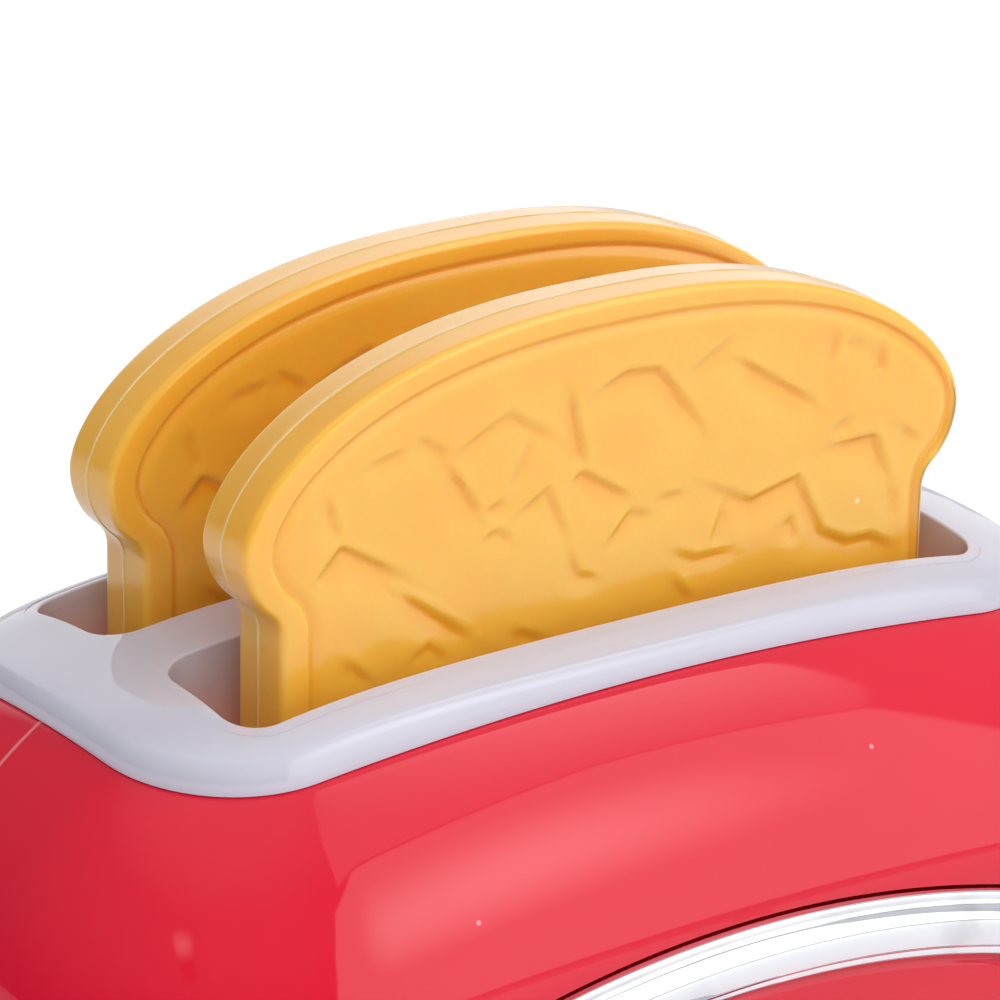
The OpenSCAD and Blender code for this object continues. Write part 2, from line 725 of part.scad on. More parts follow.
module timer_back_plate() {
    timer_plate(plate_2);
}

module timer_pillars() {
    color([0.70, 0.70, 0.72]) on_front() for (p = pillars) translate(p) difference() {
        shaft(pillar_radius, plate_1 + plate_wall + 0.05, plate_2 - 0.05);
        shaft(1.2 + running_gap, 0, plate_2 + 1);
    }
}

module timer_screws() {
    color([0.62, 0.62, 0.64]) on_front() for (p = pillars) translate(p) {
        shaft(1.2, plate_1 - 2.2, shaft_end + 0.5);
        difference() {
            shaft(2.1, shaft_end + 0.05, shaft_end + 1.2);
            translate([-3, -0.3, -shaft_end - 2]) cube([6, 0.6, 1.3]);
        }
    }
}

// Bell crank: its pin rides on the cam and its hook holds the carriage's catch
module latch() {
    shank = [catch_right + 3.6, nose_low + 5] - latch_at;
    color([0.92, 0.92, 0.88]) on_front() translate(latch_at) difference() {
        union() {
            layer(latch_layer) {
                circle(3);
                bar([0, 0], follower_at - latch_at, 1.8);
                bar([0, 0], shank, 1.8);
            }
            translate(follower_at - latch_at) shaft(follower_radius, cam_layer[0] + 0.1, latch_layer[1]);
            translate([catch_right + loose_gap, nose_low] - latch_at)
                layer([cam_layer[0] + 0.4, latch_layer[1]]) polygon([[0.1, 0], [5, 0], [5, 6], [2, 5], [0.1, 2]]);
        }
        shaft(1.2 + running_gap, 0, shaft_end);
    }
}

// Straight bar with round ends
module bar(from, to, half) {
    lead = to - from;
    translate(from) rotate([0, 0, atan2(lead[1], lead[0])]) translate([0, -half]) square([norm(lead), 2 * half]);
    translate(to) circle(half);
}

module latch_pin() {
    color([0.70, 0.70, 0.72]) on_front() translate(latch_at) {
        shaft(1.2, latch_layer[0] - 7, latch_layer[1] + 0.8);
        shaft(2.2, latch_layer[1] + 0.15, latch_layer[1] + 1);
    }
}

// ---- Carriage -------------------------------------------------------------------

module guide_rods() {
    color([0.75, 0.75, 0.78]) for (x = [-1, 1])
        translate([x * rod_offset, 0, base_top - 1 + 0.05]) cylinder(r = rod_radius, h = rod_top - base_top + 1);
}

// Round wire wound up +Z from z = 0
module coil_spring(r, wire, turns, height) {
    steps = turns * 8;
    rise = height - wire;
    rings = [
        for (i = [0:steps])
            let (a = 45 * i, z = wire / 2 + rise * i / steps)
            [for (k = [0:5]) let (c = polar(wire / 2, 60 * k))
                [(r + c[0]) * cos(a), (r + c[0]) * sin(a), z + c[1]]]
    ];
    loft(rings, true);
}

module lift_springs() {
    color([0.60, 0.61, 0.64]) for (x = [-1, 1])
        translate([x * rod_offset, 0, socket_top + 0.1])
            coil_spring(rod_radius + 1.2, lift_wire, lift_turns, hub_low - socket_top - 0.3);
}

// One rail with a lip on each side of the slice
module rail() {
    length = 2 * cross_in + 1;
    difference() {
        translate([-length / 2, -rail_half, rail_top - rail_floor])
            cube([length, 2 * rail_half, rail_floor + loose_gap + rail_lip]);
        translate([-length / 2 - 1, -rail_half + rail_wall, rail_top])
            cube([length + 2, 2 * (rail_half - rail_wall), 10]);
    }
    translate([-length / 2, -1, rail_top - rail_floor - 3]) cube([length, 2, 3.5]);
}

module carriage() {
    span = slot_pitch / 2 + rail_half;
    color([0.88, 0.88, 0.92]) difference() {
        union() {
            for (y = [-1, 1]) translate([0, y * slot_pitch / 2, 0]) rail();
            for (x = [-1, 1]) {
                translate([x > 0 ? cross_in : -cross_out, -span, rail_top - 5])
                    cube([cross_out - cross_in, 2 * span, 5]);
                translate([x > 0 ? cross_out - 1.5 : -rod_offset, -3, rail_top - 5])
                    cube([rod_offset - cross_out + 1.5, 6, 5]);
                translate([x * rod_offset, 0, hub_low]) cylinder(r = hub_radius, h = hub_high - hub_low);
            }
            translate([rod_offset, -arm_half, arm_low])
                cube([lever_in + 8 - rod_offset, 2 * arm_half, arm_high - arm_low]);
            translate([catch_left, front + cam_layer[0] + 0.6, catch_low])
                cube([catch_right - catch_left, slot_pitch / -2 - front - cam_layer[0] + 1, catch_top - catch_low]);
        }
        for (x = [-1, 1]) translate([x * rod_offset, 0, hub_low - 1])
            cylinder(r = rod_radius + running_gap, h = hub_high - hub_low + 2);
    }
}

module lever_handle() {
    mid = (arm_low + arm_high) / 2;
    color([0.90, 0.90, 0.94]) difference() {
        hull() for (y = [-1, 1], x = [lever_in + 3.5, lever_out - 3.5])
            translate([x, y * (handle_width / 2 - 6), mid - (x > lever_in + 5 ? 1 : 0)])
                scale([0.7, 1.2, 1.1]) sphere(r = 5, $fn = 24);
        translate([lever_in - 3, -arm_half - 0.1, arm_low - 0.1])
            cube([11.2, 2 * arm_half + 0.2, arm_high - arm_low + 0.2]);
    }
}

// ---- Toast ----------------------------------------------------------------------

// Right half of a slice's outline from crown to bottom, drawn in by d, z = 0 at the widest line
function half_slice(d) =
    let (
        a = toast_lobes / 2 - d, b = toast_crown - d, r = lobe_radius - d, f = neck_radius + d,
        side = toast_width / 2 - d, across = side + f - (a - r),
        lean = acos(across / (r + f)), low = toast_crown - toast_height + d, foot = 7 - d)
    concat(
        [for (i = [0:12]) let (t = 90 - 7.5 * i) [a * pow(cos(t), 1 / 1.2), b * pow(max(sin(t), 0), 1 / 0.85)]],
        [for (i = [1:5]) [a - r, 0] + polar(r, -lean * i / 5)],
        [for (i = [1:4]) [side + f, -(r + f) * sin(lean)] + polar(f, 180 - lean + lean * i / 4)],
        [for (i = [0:4]) [side - foot, low + foot] + polar(foot, -22.5 * i)]);

function slice_outline(d) =
    let (h = half_slice(d), n = len(h))
    concat(h, [for (i = [n - 1:-1:1]) [-h[i][0], h[i][1]]]);

// A moulded slice standing on its edge: drafted rim, flat crust band, groove and crumb face.
// Each ring is [distance inside the outline, depth from the mould line, shift along X].
module slice() {
    t = toast_thickness / 2;
    draft = 0.15;
    edge = 0.5;
    face = [
        for (a = [0, 45, 90]) [draft + edge * (1 - cos(a)), t - edge + edge * sin(a), 0],
        [crust_band, t, crumb_shift],
        [crust_band + 0.9, t - groove_depth, crumb_shift],
        [crust_band + 2.5, t - crumb_depth, crumb_shift]
    ];
    rings = concat([for (f = reversed(face)) [f[0], -f[1], f[2]]], [[0, 0, 0]], face);
    loft([for (f = rings) [for (p = slice_outline(f[0])) [p[0] + f[2], f[1], p[1]]]], true);
}

module toast_front() {
    color([0.97, 0.66, 0.25]) translate([toast_shift, -slot_pitch / 2, toast_widest]) slice();
}

module toast_back() {
    color([0.97, 0.66, 0.25]) translate([toast_shift, slot_pitch / 2, toast_widest]) slice();
}

front_shell();
back_shell();
top_panel();
base_plate();
rubber_feet();
case_screws();
base_screws();
trim_ring();
front_panel();
guide_rods();
lift_springs();
carriage();
lever_handle();
toast_front();
toast_back();
timer_knob();
timer_shaft();
drive_gear();
snail_cam();
mainspring();
second_gear();
escape_wheel();
pallet();
timer_front_plate();
timer_back_plate();
timer_pillars();
timer_screws();
latch();
latch_pin();
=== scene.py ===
"""Looks of the toy toaster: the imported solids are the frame, and the pieces that show are modelled finer here.

Sizes of the pieces are millimetres in the part's own frame, and MM turns them into metres. Materials, lights
and the camera are given in metres.
"""
import math

import bmesh
import bpy
import numpy as np
from mathutils import Matrix, Vector, noise
from mathutils.geometry import delaunay_2d_cdt


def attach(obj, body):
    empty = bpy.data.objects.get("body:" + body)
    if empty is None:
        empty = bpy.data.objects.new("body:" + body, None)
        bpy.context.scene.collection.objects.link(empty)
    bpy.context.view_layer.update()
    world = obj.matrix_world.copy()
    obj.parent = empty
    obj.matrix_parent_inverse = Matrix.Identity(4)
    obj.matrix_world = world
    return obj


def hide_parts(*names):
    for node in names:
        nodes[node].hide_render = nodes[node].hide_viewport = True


MM = 0.001
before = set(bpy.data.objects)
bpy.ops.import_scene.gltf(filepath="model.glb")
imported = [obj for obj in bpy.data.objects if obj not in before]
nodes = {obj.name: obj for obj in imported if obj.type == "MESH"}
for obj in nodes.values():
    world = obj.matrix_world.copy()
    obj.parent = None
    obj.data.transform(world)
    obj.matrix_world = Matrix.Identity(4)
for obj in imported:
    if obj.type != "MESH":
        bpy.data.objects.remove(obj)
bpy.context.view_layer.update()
bpy.ops.object.select_all(action="DESELECT")

# ---- Sizes shared with the part's source ----

half_l, half_d = 82.1986, 46.9986
body_height, edge_top = 118.0, 113.7
shoulder_radius, shoulder_slope = 36.0, 31.0
flank_top = edge_top - shoulder_radius * math.cos(math.radians(shoulder_slope))
edge_inset = -shoulder_radius * (1 - math.sin(math.radians(shoulder_slope)))
flank_flare, end_bow, side_bow, corner_radius = 1.5, 2.1, 0.8, 33.0
foot_radius, foot_height = 5.0, 4.0
foot_inset = flank_flare - foot_radius
panel_l, panel_d = half_l + edge_inset, half_d + edge_inset
fall_ends, fall_sides, fall_corners, crown_turn, panel_roll = 3.6, 2.1, 2.0, 1.6, 1.6
slot_length, slot_width, slot_pitch, slot_corner = 105.8, 18.3, 27.8, 4.5
chute_bottom, rod_offset = 82.0, 58.4
front, ring_centre, pocket = -half_d, 58.3, 3.0
arm_low, arm_high, travel = 57.9, 63.9, 32.0
toast_shift, toast_widest, toast_half = 1.2, 131.8, 4.5
crown_half, crown_rise, lobe_radius, neck_radius = 51.1, 21.4, 9.6, 3.5
straight_half, toast_height, toast_foot = 46.2, 90.0, 7.0
knob_radius, shaft_bore, spindle_bore = 15.0, 1.52, 2.3
lever_in, lever_out = 85.2986, 99.2986
wall_thickness, lip_width = 2.4, 2.2


def polar(r, a):
    return r * math.cos(math.radians(a)), r * math.sin(math.radians(a))


def outline(s, end=7, corner=30, side=26):
    """The body's outline seen from above, s outside the flank line, as a closed ring of points."""
    a, b, r = half_l - end_bow + s, half_d - side_bow + s, max(corner_radius + s, 0.5)
    quarter = [(a, (b - r) * i / end) for i in range(end)]
    for i in range(corner + 1):
        x, y = polar(r, 90 * i / corner)
        quarter.append((a - r + x, b - r + y))
    quarter += [((a - r) * (1 - i / side), b) for i in range(1, side + 1)]
    bowed = [(x + end_bow * (1 - (y / b) ** 2), y + side_bow * (1 - (x / a) ** 2)) for x, y in quarter]
    back = bowed + [(-x, y) for x, y in reversed(bowed[:-1])]
    return back + [(x, -y) for x, y in reversed(back[1:-1])]


def fall(x, y):
    """How far the panel's edge, and the shoulder under it, lie below their level at the middle."""
    u, v = (x / panel_l) ** 2, (y / panel_d) ** 2
    return fall_ends * u + fall_sides * v + fall_corners * u * v


def crown(x, y):
    """Height of the panel's face, which bends down ever faster towards its edge."""
    u, v = (x / panel_l) ** 2, (y / panel_d) ** 2
    level = body_height - (fall_ends + crown_turn) * u * u - (fall_sides + crown_turn) * v * v
    return level - fall_corners * u * v


def shoulder_level(a):
    """A level of the shoulder at a degrees: its offset, its height and its share of fall()."""
    a = math.radians(a)
    share = math.cos(a) / math.cos(math.radians(shoulder_slope))
    return shoulder_radius * (math.sin(a) - 1), flank_top + shoulder_radius * math.cos(a), share


def shoulder_levels(steps):
    """Levels of the whole shoulder, from the panel's edge down to the flank."""
    return [shoulder_level(shoulder_slope + (90 - shoulder_slope) * i / steps) for i in range(steps + 1)]


def flank_level(k):
    """A level of the flank, from the shoulder at 0 to the foot at 1."""
    drop = foot_height + foot_radius - flank_top
    return flank_flare * math.sin(math.radians(90 * k)), flank_top + drop * k, 0.0


def foot_level(t):
    """A level of the turned-in foot, from the flank at 0 to the underside at 90 degrees."""
    t = math.radians(t)
    return foot_inset + foot_radius * math.cos(t), foot_height + foot_radius - foot_radius * math.sin(t), 0.0


def ring_outline(d, ends=64, sides=44, bow=150.0, end=25.0, half=29.0):
    """The front ring's bowed oval, offset outwards by d, counterclockwise seen from the front."""
    drop = bow - half
    end_x = math.sqrt((bow - end) ** 2 - drop ** 2)
    lean = math.degrees(math.atan(end_x / drop))
    pts = []
    for i in range(ends + 1):
        x, z = polar(end + d, (90 - lean) * (2 * i / ends - 1))
        pts.append((x + end_x, z))
    for i in range(1, sides):
        x, z = polar(bow + d, 90 - lean + 2 * lean * i / sides)
        pts.append((x, z - drop))
    return pts + [(-x, -z) for x, z in pts]


def on_front(points, depth):
    """Points round the ring's middle, set at a depth behind the plane of the front."""
    return [(x, front + depth, z + ring_centre) for x, z in points]


# ---- Mesh building ----


def active(o):
    bpy.ops.object.select_all(action="DESELECT")
    o.select_set(True)
    bpy.context.view_layer.objects.active = o


def named(o, name):
    o.name = name
    o.data.name = name
    return o


def edit(o, work):
    """Runs work with the piece in edit mode and everything on it selected."""
    active(o)
    bpy.ops.object.mode_set(mode="EDIT")
    bpy.ops.mesh.select_mode(type="VERT")
    bpy.ops.mesh.select_all(action="SELECT")
    work()
    bpy.ops.object.mode_set(mode="OBJECT")


def merge(o, distance=0.00001):
    edit(o, lambda: bpy.ops.mesh.remove_doubles(threshold=distance))


def outward(o):
    edit(o, lambda: bpy.ops.mesh.normals_make_consistent(inside=False))


def settle(o):
    """Puts the object's place, turn and size into its mesh."""
    active(o)
    bpy.ops.object.transform_apply(location=True, rotation=True, scale=True)


def wrap(name, rings, closed=True):
    """A grid laid through rings of equal length, its last column joined to its first where closed."""
    rows, cols = len(rings), len(rings[0]) + (1 if closed else 0)
    bpy.ops.mesh.primitive_grid_add(x_subdivisions=cols - 1, y_subdivisions=rows - 1, size=1)
    o = named(bpy.context.object, name)
    flat = [c * MM for ring in rings for k in range(cols) for c in ring[k % len(ring)]]
    o.data.vertices.foreach_set("co", flat)
    o.data.update()
    merge(o)
    return o


def mesh_piece(name, points, faces):
    """A new piece from its points, in metres, and its faces."""
    mesh = bpy.data.meshes.new(name)
    mesh.from_pydata(points, [], faces)
    o = bpy.data.objects.new(name, mesh)
    bpy.context.collection.objects.link(o)
    return o


def joined(pieces, name):
    bpy.ops.object.select_all(action="DESELECT")
    for p in pieces:
        p.select_set(True)
    bpy.context.view_layer.objects.active = pieces[0]
    bpy.ops.object.join()
    return named(bpy.context.object, name)


def modify(o, kind, **values):
    active(o)
    m = o.modifiers.new(kind.lower(), kind)
    for k, v in values.items():
        setattr(m, k, v)
    bpy.ops.object.modifier_apply(modifier=m.name)
    return o


def cut(o, tool, operation="DIFFERENCE"):
    modify(o, "BOOLEAN", object=tool, operation=operation, solver="EXACT")
    bpy.data.objects.remove(tool)
    return o


def smooth(o, angle=35):
    active(o)
    bpy.ops.object.shade_smooth_by_angle(angle=math.radians(angle))
    return o


def rod(name, r, base, tip, sides=48):
    """A cylinder of radius r from one point to another."""
    a, b = Vector(base) * MM, Vector(tip) * MM
    turn = (b - a).to_track_quat("Z", "Y").to_euler()
    bpy.ops.mesh.primitive_cylinder_add(vertices=sides, radius=r * MM, depth=(b - a).length,
                                        location=(a + b) / 2, rotation=turn)
    o = named(bpy.context.object, name)
    settle(o)
    return o


def block(name, low, high):
    lo, hi = Vector(low) * MM, Vector(high) * MM
    bpy.ops.mesh.primitive_cube_add(size=1, location=(lo + hi) / 2, scale=hi - lo)
    o = named(bpy.context.object, name)
    settle(o)
    return o


def prism(name, points, near, far):
    """A flat plate in the front's plane: its outline of (x, z) points, from one depth to another."""
    o = wrap(name, [on_front(points, d) for d in (near, far)])
    for depth in (near, far):
        def fill_side(depth=depth):
            bpy.ops.mesh.select_all(action="DESELECT")
            bm = bmesh.from_edit_mesh(o.data)
            for v in bm.verts:
                v.select = abs(v.co.y - (front + depth) * MM) < 1e-6
            bm.select_flush_mode()
            bmesh.update_edit_mesh(o.data)
            bpy.ops.mesh.edge_face_add()
        edit(o, fill_side)
    outward(o)
    return o


# ---- Materials ----


class Recipe:
    """A node tree being filled: add() places a node, put() fills sockets and link() joins two of them."""

    def __init__(self, tree):
        self.tree, self.count = tree, 0

    def add(self, kind, settings=(), **inputs):
        n = self.tree.nodes.new(kind)
        n.location = (220 * (self.count % 9) - 1200, 300 - 240 * (self.count // 9))
        self.count += 1
        for k, v in dict(settings).items():
            setattr(n, k, v)
        self.put([n.inputs[k.replace("_", " ")] for k in inputs], inputs.values())
        return n

    def link(self, a, b):
        self.tree.links.new(a, b)

    def put(self, sockets, values):
        for socket, v in zip(sockets, values):
            if hasattr(v, "is_output"):
                self.link(v, socket)
            else:
                socket.default_value = v

    def place(self):
        """Where a point lies on its own piece."""
        return self.add("ShaderNodeTexCoord").outputs["Object"]

    def math(self, operation, a, b=0.0):
        n = self.add("ShaderNodeMath", {"operation": operation})
        self.put(n.inputs, (a, b))
        return n.outputs[0]

    def ramp(self, value, low, high, from_, to):
        n = self.add("ShaderNodeMapRange", {"interpolation_type": "SMOOTHSTEP"})
        self.put(n.inputs, (value, low, high, from_, to))
        return n.outputs[0]

    def mix(self, factor, a, b):
        n = self.add("ShaderNodeMix", {"data_type": "RGBA"})
        self.put((n.inputs[0], n.inputs[6], n.inputs[7]), (factor, a, b))
        return n.outputs[2]


def effect(name, inputs, outputs):
    """A new node group with number sockets: its recipe, its inputs, its outputs and itself."""
    g = bpy.data.node_groups.new(name, "ShaderNodeTree")
    for label, value in inputs:
        socket = g.interface.new_socket(label, in_out="INPUT", socket_type="NodeSocketFloat")
        socket.default_value = value
    for label in outputs:
        g.interface.new_socket(label, in_out="OUTPUT", socket_type="NodeSocketFloat")
    r = Recipe(g)
    return r, r.add("NodeGroupInput").outputs, r.add("NodeGroupOutput").inputs, g


def make_dust():
    """Sparse short specks of dust and lint, as a mask."""
    r, i, o, g = effect("dust specks", [("Scale", 260.0), ("Amount", 0.5)], ["Mask"])
    cells = r.add("ShaderNodeTexVoronoi", {"feature": "F1"}, Vector=r.place(), Scale=i["Scale"], Randomness=1.0)
    pick = r.add("ShaderNodeTexWhiteNoise", {"noise_dimensions": "3D"}, Vector=cells.outputs["Position"])
    least = r.math("SUBTRACT", 1.0, r.math("MULTIPLY", i["Amount"], 0.1))
    chosen = r.math("GREATER_THAN", pick.outputs["Value"], least)
    size = r.math("MULTIPLY", pick.outputs["Value"], 0.10)
    spot = r.ramp(cells.outputs["Distance"], 0.02, size, 1.0, 0.0)
    r.link(r.math("MULTIPLY", spot, chosen), o["Mask"])
    return g


def make_moulding():
    """Slow waviness of a moulded face, with a fine grain on it as a height and without it as a tone."""
    sockets = [("Wave", 40.0), ("Grain", 900.0), ("Grain Share", 0.15)]
    r, i, o, g = effect("moulded surface", sockets, ["Height", "Tone"])
    place = r.place()
    wave = r.add("ShaderNodeTexNoise", Vector=place, Scale=i["Wave"], Detail=2.0, Roughness=0.5)
    grain = r.add("ShaderNodeTexNoise", Vector=place, Scale=i["Grain"], Detail=3.0, Roughness=0.6)
    fine = r.math("MULTIPLY", grain.outputs["Fac"], i["Grain Share"])
    r.link(r.math("ADD", wave.outputs["Fac"], fine), o["Height"])
    r.link(wave.outputs["Fac"], o["Tone"])
    return g


def make_scuffs():
    """Fine hairline scratches in two directions, as a mask."""
    r, i, o, g = effect("hairline scuffs", [("Scale", 60.0), ("Amount", 0.5)], ["Mask"])
    place = r.place()
    masks = []
    for turn, stretch in ((0.7, (1.0, 14.0, 5.0)), (-0.5, (12.0, 1.0, 7.0))):
        m = r.add("ShaderNodeMapping", Vector=place, Rotation=(turn, turn * 0.6, turn), Scale=stretch)
        n = r.add("ShaderNodeTexNoise", Vector=m.outputs[0], Scale=i["Scale"], Detail=4.0, Roughness=0.7)
        masks.append(r.ramp(n.outputs["Fac"], 0.68, 0.78, 0.0, 1.0))
    both = r.math("MAXIMUM", masks[0], masks[1])
    r.link(r.math("MULTIPLY", both, i["Amount"]), o["Mask"])
    return g


dust, moulding, scuffs = make_dust(), make_moulding(), make_scuffs()


def blank(owner):
    """The emptied node tree of a material or a world, as a recipe."""
    owner.use_nodes = True
    owner.node_tree.nodes.clear()
    return Recipe(owner.node_tree)


def material(name, **constants):
    m = bpy.data.materials.new(name)
    r = blank(m)
    shader = r.add("ShaderNodeBsdfPrincipled")
    r.link(shader.outputs[0], r.add("ShaderNodeOutputMaterial").inputs["Surface"])
    for k, v in constants.items():
        shader.inputs[k.replace("_", " ")].default_value = v
    return m, r, shader


def group(r, tree, **inputs):
    n = r.add("ShaderNodeGroup", {"node_tree": tree})
    for k, v in inputs.items():
        n.inputs[k.replace("_", " ")].default_value = v
    return n.outputs


def place_on(r):
    """Where a point lies on its own piece, as X, Y and Z."""
    return r.add("ShaderNodeSeparateXYZ", Vector=r.place()).outputs


def across_slot(r, y):
    """How far a point lies from the middle of its slot, across it."""
    return r.math("ABSOLUTE", r.math("SUBTRACT", r.math("ABSOLUTE", y), 0.5 * slot_pitch * MM))


def painted_slot_bounce(r, colour):
    """Painted bounce light: the walls of the slots take on the warm light of the slices, more so further down.
    """
    margin, full_at, none_at = 0.3, 0.103, 0.1168
    at = place_on(r)
    across = across_slot(r, at["Y"])
    along = r.math("ABSOLUTE", at["X"])
    inside = r.math("MULTIPLY", r.math("LESS_THAN", along, (0.5 * slot_length + margin) * MM),
                    r.math("LESS_THAN", across, (0.5 * slot_width + margin) * MM))
    deep = r.ramp(at["Z"], full_at, none_at, 0.92, 0.0)
    return r.mix(r.math("MULTIPLY", inside, deep), colour, (1.0, 0.50, 0.37, 1))


def painted_seam_highlight(r, colour):
    """Painted highlight: a fine pale line along the edges of the two halves, where the seam's groove catches the
    light.
    """
    line = r.ramp(r.math("ABSOLUTE", place_on(r)["Y"]), 0.00008, 0.00036, 0.60, 0.0)
    return r.mix(line, colour, (0.93, 0.42, 0.42, 1))


def plastic(name, colour, deep, rough, speck, bump=0.02, wave=45.0, grain=900.0, grain_share=0.1,
            dust_amount=0.35, wear=0.4, painted_light=None, **constants):
    """Moulded plastic: slow colour drift, fine grain, dust and hairlines; a painted-light function, if given,
    paints bounce light or a highlight onto parts of its colour.
    """
    m, r, shader = material(name, **constants)
    body = group(r, moulding, Wave=wave, Grain=grain, Grain_Share=grain_share)
    specks = group(r, dust, Scale=230.0, Amount=dust_amount)["Mask"]
    lines = group(r, scuffs, Scale=55.0, Amount=wear)["Mask"]
    drift = r.mix(r.ramp(body["Tone"], 0.35, 0.65, 0.0, 1.0), (*deep, 1), (*colour, 1))
    # Painted light, bounce light or a highlight, goes into the colour here
    if painted_light:
        drift = painted_light(r, drift)
    r.link(r.mix(specks, drift, (*speck, 1)), shader.inputs["Base Color"])
    polish = r.ramp(body["Tone"], 0.3, 0.7, rough * 0.9, rough * 1.15)
    dulled = r.math("MULTIPLY", r.math("ADD", lines, specks), 0.25)
    r.link(r.math("ADD", polish, dulled), shader.inputs["Roughness"])
    height = r.math("SUBTRACT", body["Height"], r.math("MULTIPLY", lines, 0.12))
    b = r.add("ShaderNodeBump", Height=height, Strength=bump, Distance=0.0006)
    r.link(b.outputs[0], shader.inputs["Normal"])
    return m


def metal(name, colour, rough, stretch=(1, 1, 30), bump=0.04, **constants):
    """Metal with a directional finish, a little tarnish and fine wear."""
    m, r, shader = material(name, Metallic=1.0, **constants)
    place = r.place()
    lay = r.add("ShaderNodeMapping", Vector=place, Scale=stretch)
    brushed = r.add("ShaderNodeTexNoise", Vector=lay.outputs[0], Scale=320.0, Detail=3.0).outputs["Fac"]
    tarnish = r.add("ShaderNodeTexNoise", Vector=place, Scale=90.0, Detail=4.0).outputs["Fac"]
    darker = tuple(c * 0.8 for c in colour)
    r.link(r.mix(r.ramp(tarnish, 0.4, 0.7, 0.0, 1.0), (*colour, 1), (*darker, 1)), shader.inputs["Base Color"])
    uneven = r.math("ADD", brushed, tarnish)
    r.link(r.ramp(uneven, 0.6, 1.4, rough * 0.75, rough * 1.5), shader.inputs["Roughness"])
    b = r.add("ShaderNodeBump", Height=brushed, Strength=bump, Distance=0.0003)
    r.link(b.outputs[0], shader.inputs["Normal"])
    return m


# The red shells carry a painted highlight along the seam of their two halves.
red_plastic = plastic(
    "glossy red shell", (0.74, 0.006, 0.032), (0.715, 0.005, 0.029), 0.05, (0.80, 0.30, 0.34),
    bump=0.010, wave=22.0, dust_amount=0.22, wear=0.10, painted_light=painted_seam_highlight)
# The white panel's slot walls carry painted bounce light from the slices.
white_plastic = plastic(
    "glossy lilac white", (0.60, 0.59, 0.68), (0.58, 0.57, 0.66), 0.04, (0.30, 0.26, 0.28),
    bump=0.012, wave=26.0, dust_amount=0.8, wear=0.10, painted_light=painted_slot_bounce, IOR=1.58,
    Subsurface_Weight=0.12, Subsurface_Radius=(1.0, 0.8, 0.7), Subsurface_Scale=0.003)
inner_plastic = plastic(
    "natural white moulding", (0.66, 0.65, 0.66), (0.60, 0.59, 0.61), 0.42, (0.40, 0.38, 0.36), bump=0.15)
base_plastic = plastic(
    "fine matt base", (0.56, 0.56, 0.61), (0.52, 0.52, 0.57), 0.55, (0.30, 0.28, 0.28),
    bump=0.35, grain=1600.0, grain_share=0.7)
gear_plastic = plastic(
    "natural gear plastic", (0.76, 0.75, 0.68), (0.70, 0.69, 0.61), 0.38, (0.5, 0.45, 0.4), bump=0.12)
rubber = plastic(
    "dark foot rubber", (0.045, 0.045, 0.05), (0.035, 0.035, 0.04), 0.72, (0.25, 0.24, 0.23),
    bump=0.45, grain=2200.0, grain_share=0.9, dust_amount=0.6, wear=0.1)
steel = metal("plain steel", (0.56, 0.56, 0.58), 0.32)
spring_steel = metal("blued spring steel", (0.26, 0.28, 0.33), 0.36)
plate_steel = metal("yellow passivated plate", (0.60, 0.50, 0.26), 0.34, stretch=(30, 1, 1))
chrome = metal("bright chrome", (0.83, 0.84, 0.87), 0.055, stretch=(1, 1, 1), bump=0.015)


def make_toast_plastic():
    """Soft orange play-food plastic: light passes through it, and painted shade makes it a deeper orange in the
    creases and the groove.
    """
    crease_floor, crease_top = toast_half - 0.85, toast_half - 0.28
    m, r, shader = material("soft orange slice", Subsurface_Weight=0.9, Subsurface_Radius=(1.0, 0.55, 0.25),
                            Subsurface_Scale=0.003, Coat_Weight=0.8, Coat_Roughness=0.14)
    body = group(r, moulding, Wave=55.0, Grain=1300.0, Grain_Share=0.30)
    specks = group(r, dust, Scale=195.0, Amount=0.14)["Mask"]
    lines = group(r, scuffs, Scale=45.0, Amount=0.25)["Mask"]
    across = across_slot(r, place_on(r)["Y"])
    normal = r.add("ShaderNodeTexCoord").outputs["Normal"]
    facing = r.math("ABSOLUTE", r.add("ShaderNodeSeparateXYZ", Vector=normal).outputs["Y"])
    # Painted shade: a deeper orange where the faces lie sunk in creases and the groove
    painted_crease_shade = r.math("MULTIPLY", r.ramp(across, crease_floor * MM, crease_top * MM, 0.80, 0.0),
                  r.ramp(facing, 0.72, 0.88, 0.0, 1.0))
    tone = r.mix(r.ramp(body["Tone"], 0.35, 0.65, 0.0, 1.0), (0.99, 0.490, 0.048, 1), (1.0, 0.515, 0.058, 1))
    tone = r.mix(painted_crease_shade, tone, (1.0, 0.42, 0.016, 1))
    tone = r.mix(r.ramp(across, 0.00005, 0.00022, 0.5, 0.0), tone, (0.98, 0.80, 0.55, 1))
    r.link(r.mix(specks, tone, (0.95, 0.80, 0.55, 1)), shader.inputs["Base Color"])
    polish = r.ramp(body["Tone"], 0.3, 0.7, 0.28, 0.36)
    r.link(r.math("ADD", polish, r.math("MULTIPLY", lines, 0.2)), shader.inputs["Roughness"])
    b = r.add("ShaderNodeBump", Height=body["Height"], Strength=0.08, Distance=0.0006)
    r.link(b.outputs[0], shader.inputs["Normal"])
    return m


toast_plastic = make_toast_plastic()


def dress(o, m, body):
    """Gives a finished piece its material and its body."""
    o.data.materials.clear()
    o.data.materials.append(m)
    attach(o, body)
    return o


# ---- Red shells ----

seam, seam_ease = 0.04, 0.22


def shell_wall_grid(name):
    """The body's outside from the lip under the panel down to the turned-in foot."""
    levels = [(edge_inset - lip_width, edge_top, 1.0), (edge_inset - 0.5 * lip_width, edge_top, 1.0)]
    levels += shoulder_levels(26)
    levels += [flank_level(i / 16) for i in range(1, 16)]
    levels += [foot_level(90 * i / 9) for i in range(10)]
    rings = [[(x, y, z - k * fall(x, y)) for x, y in outline(s)] for s, z, k in levels]
    o = wrap(name, rings)
    outward(o)
    return o


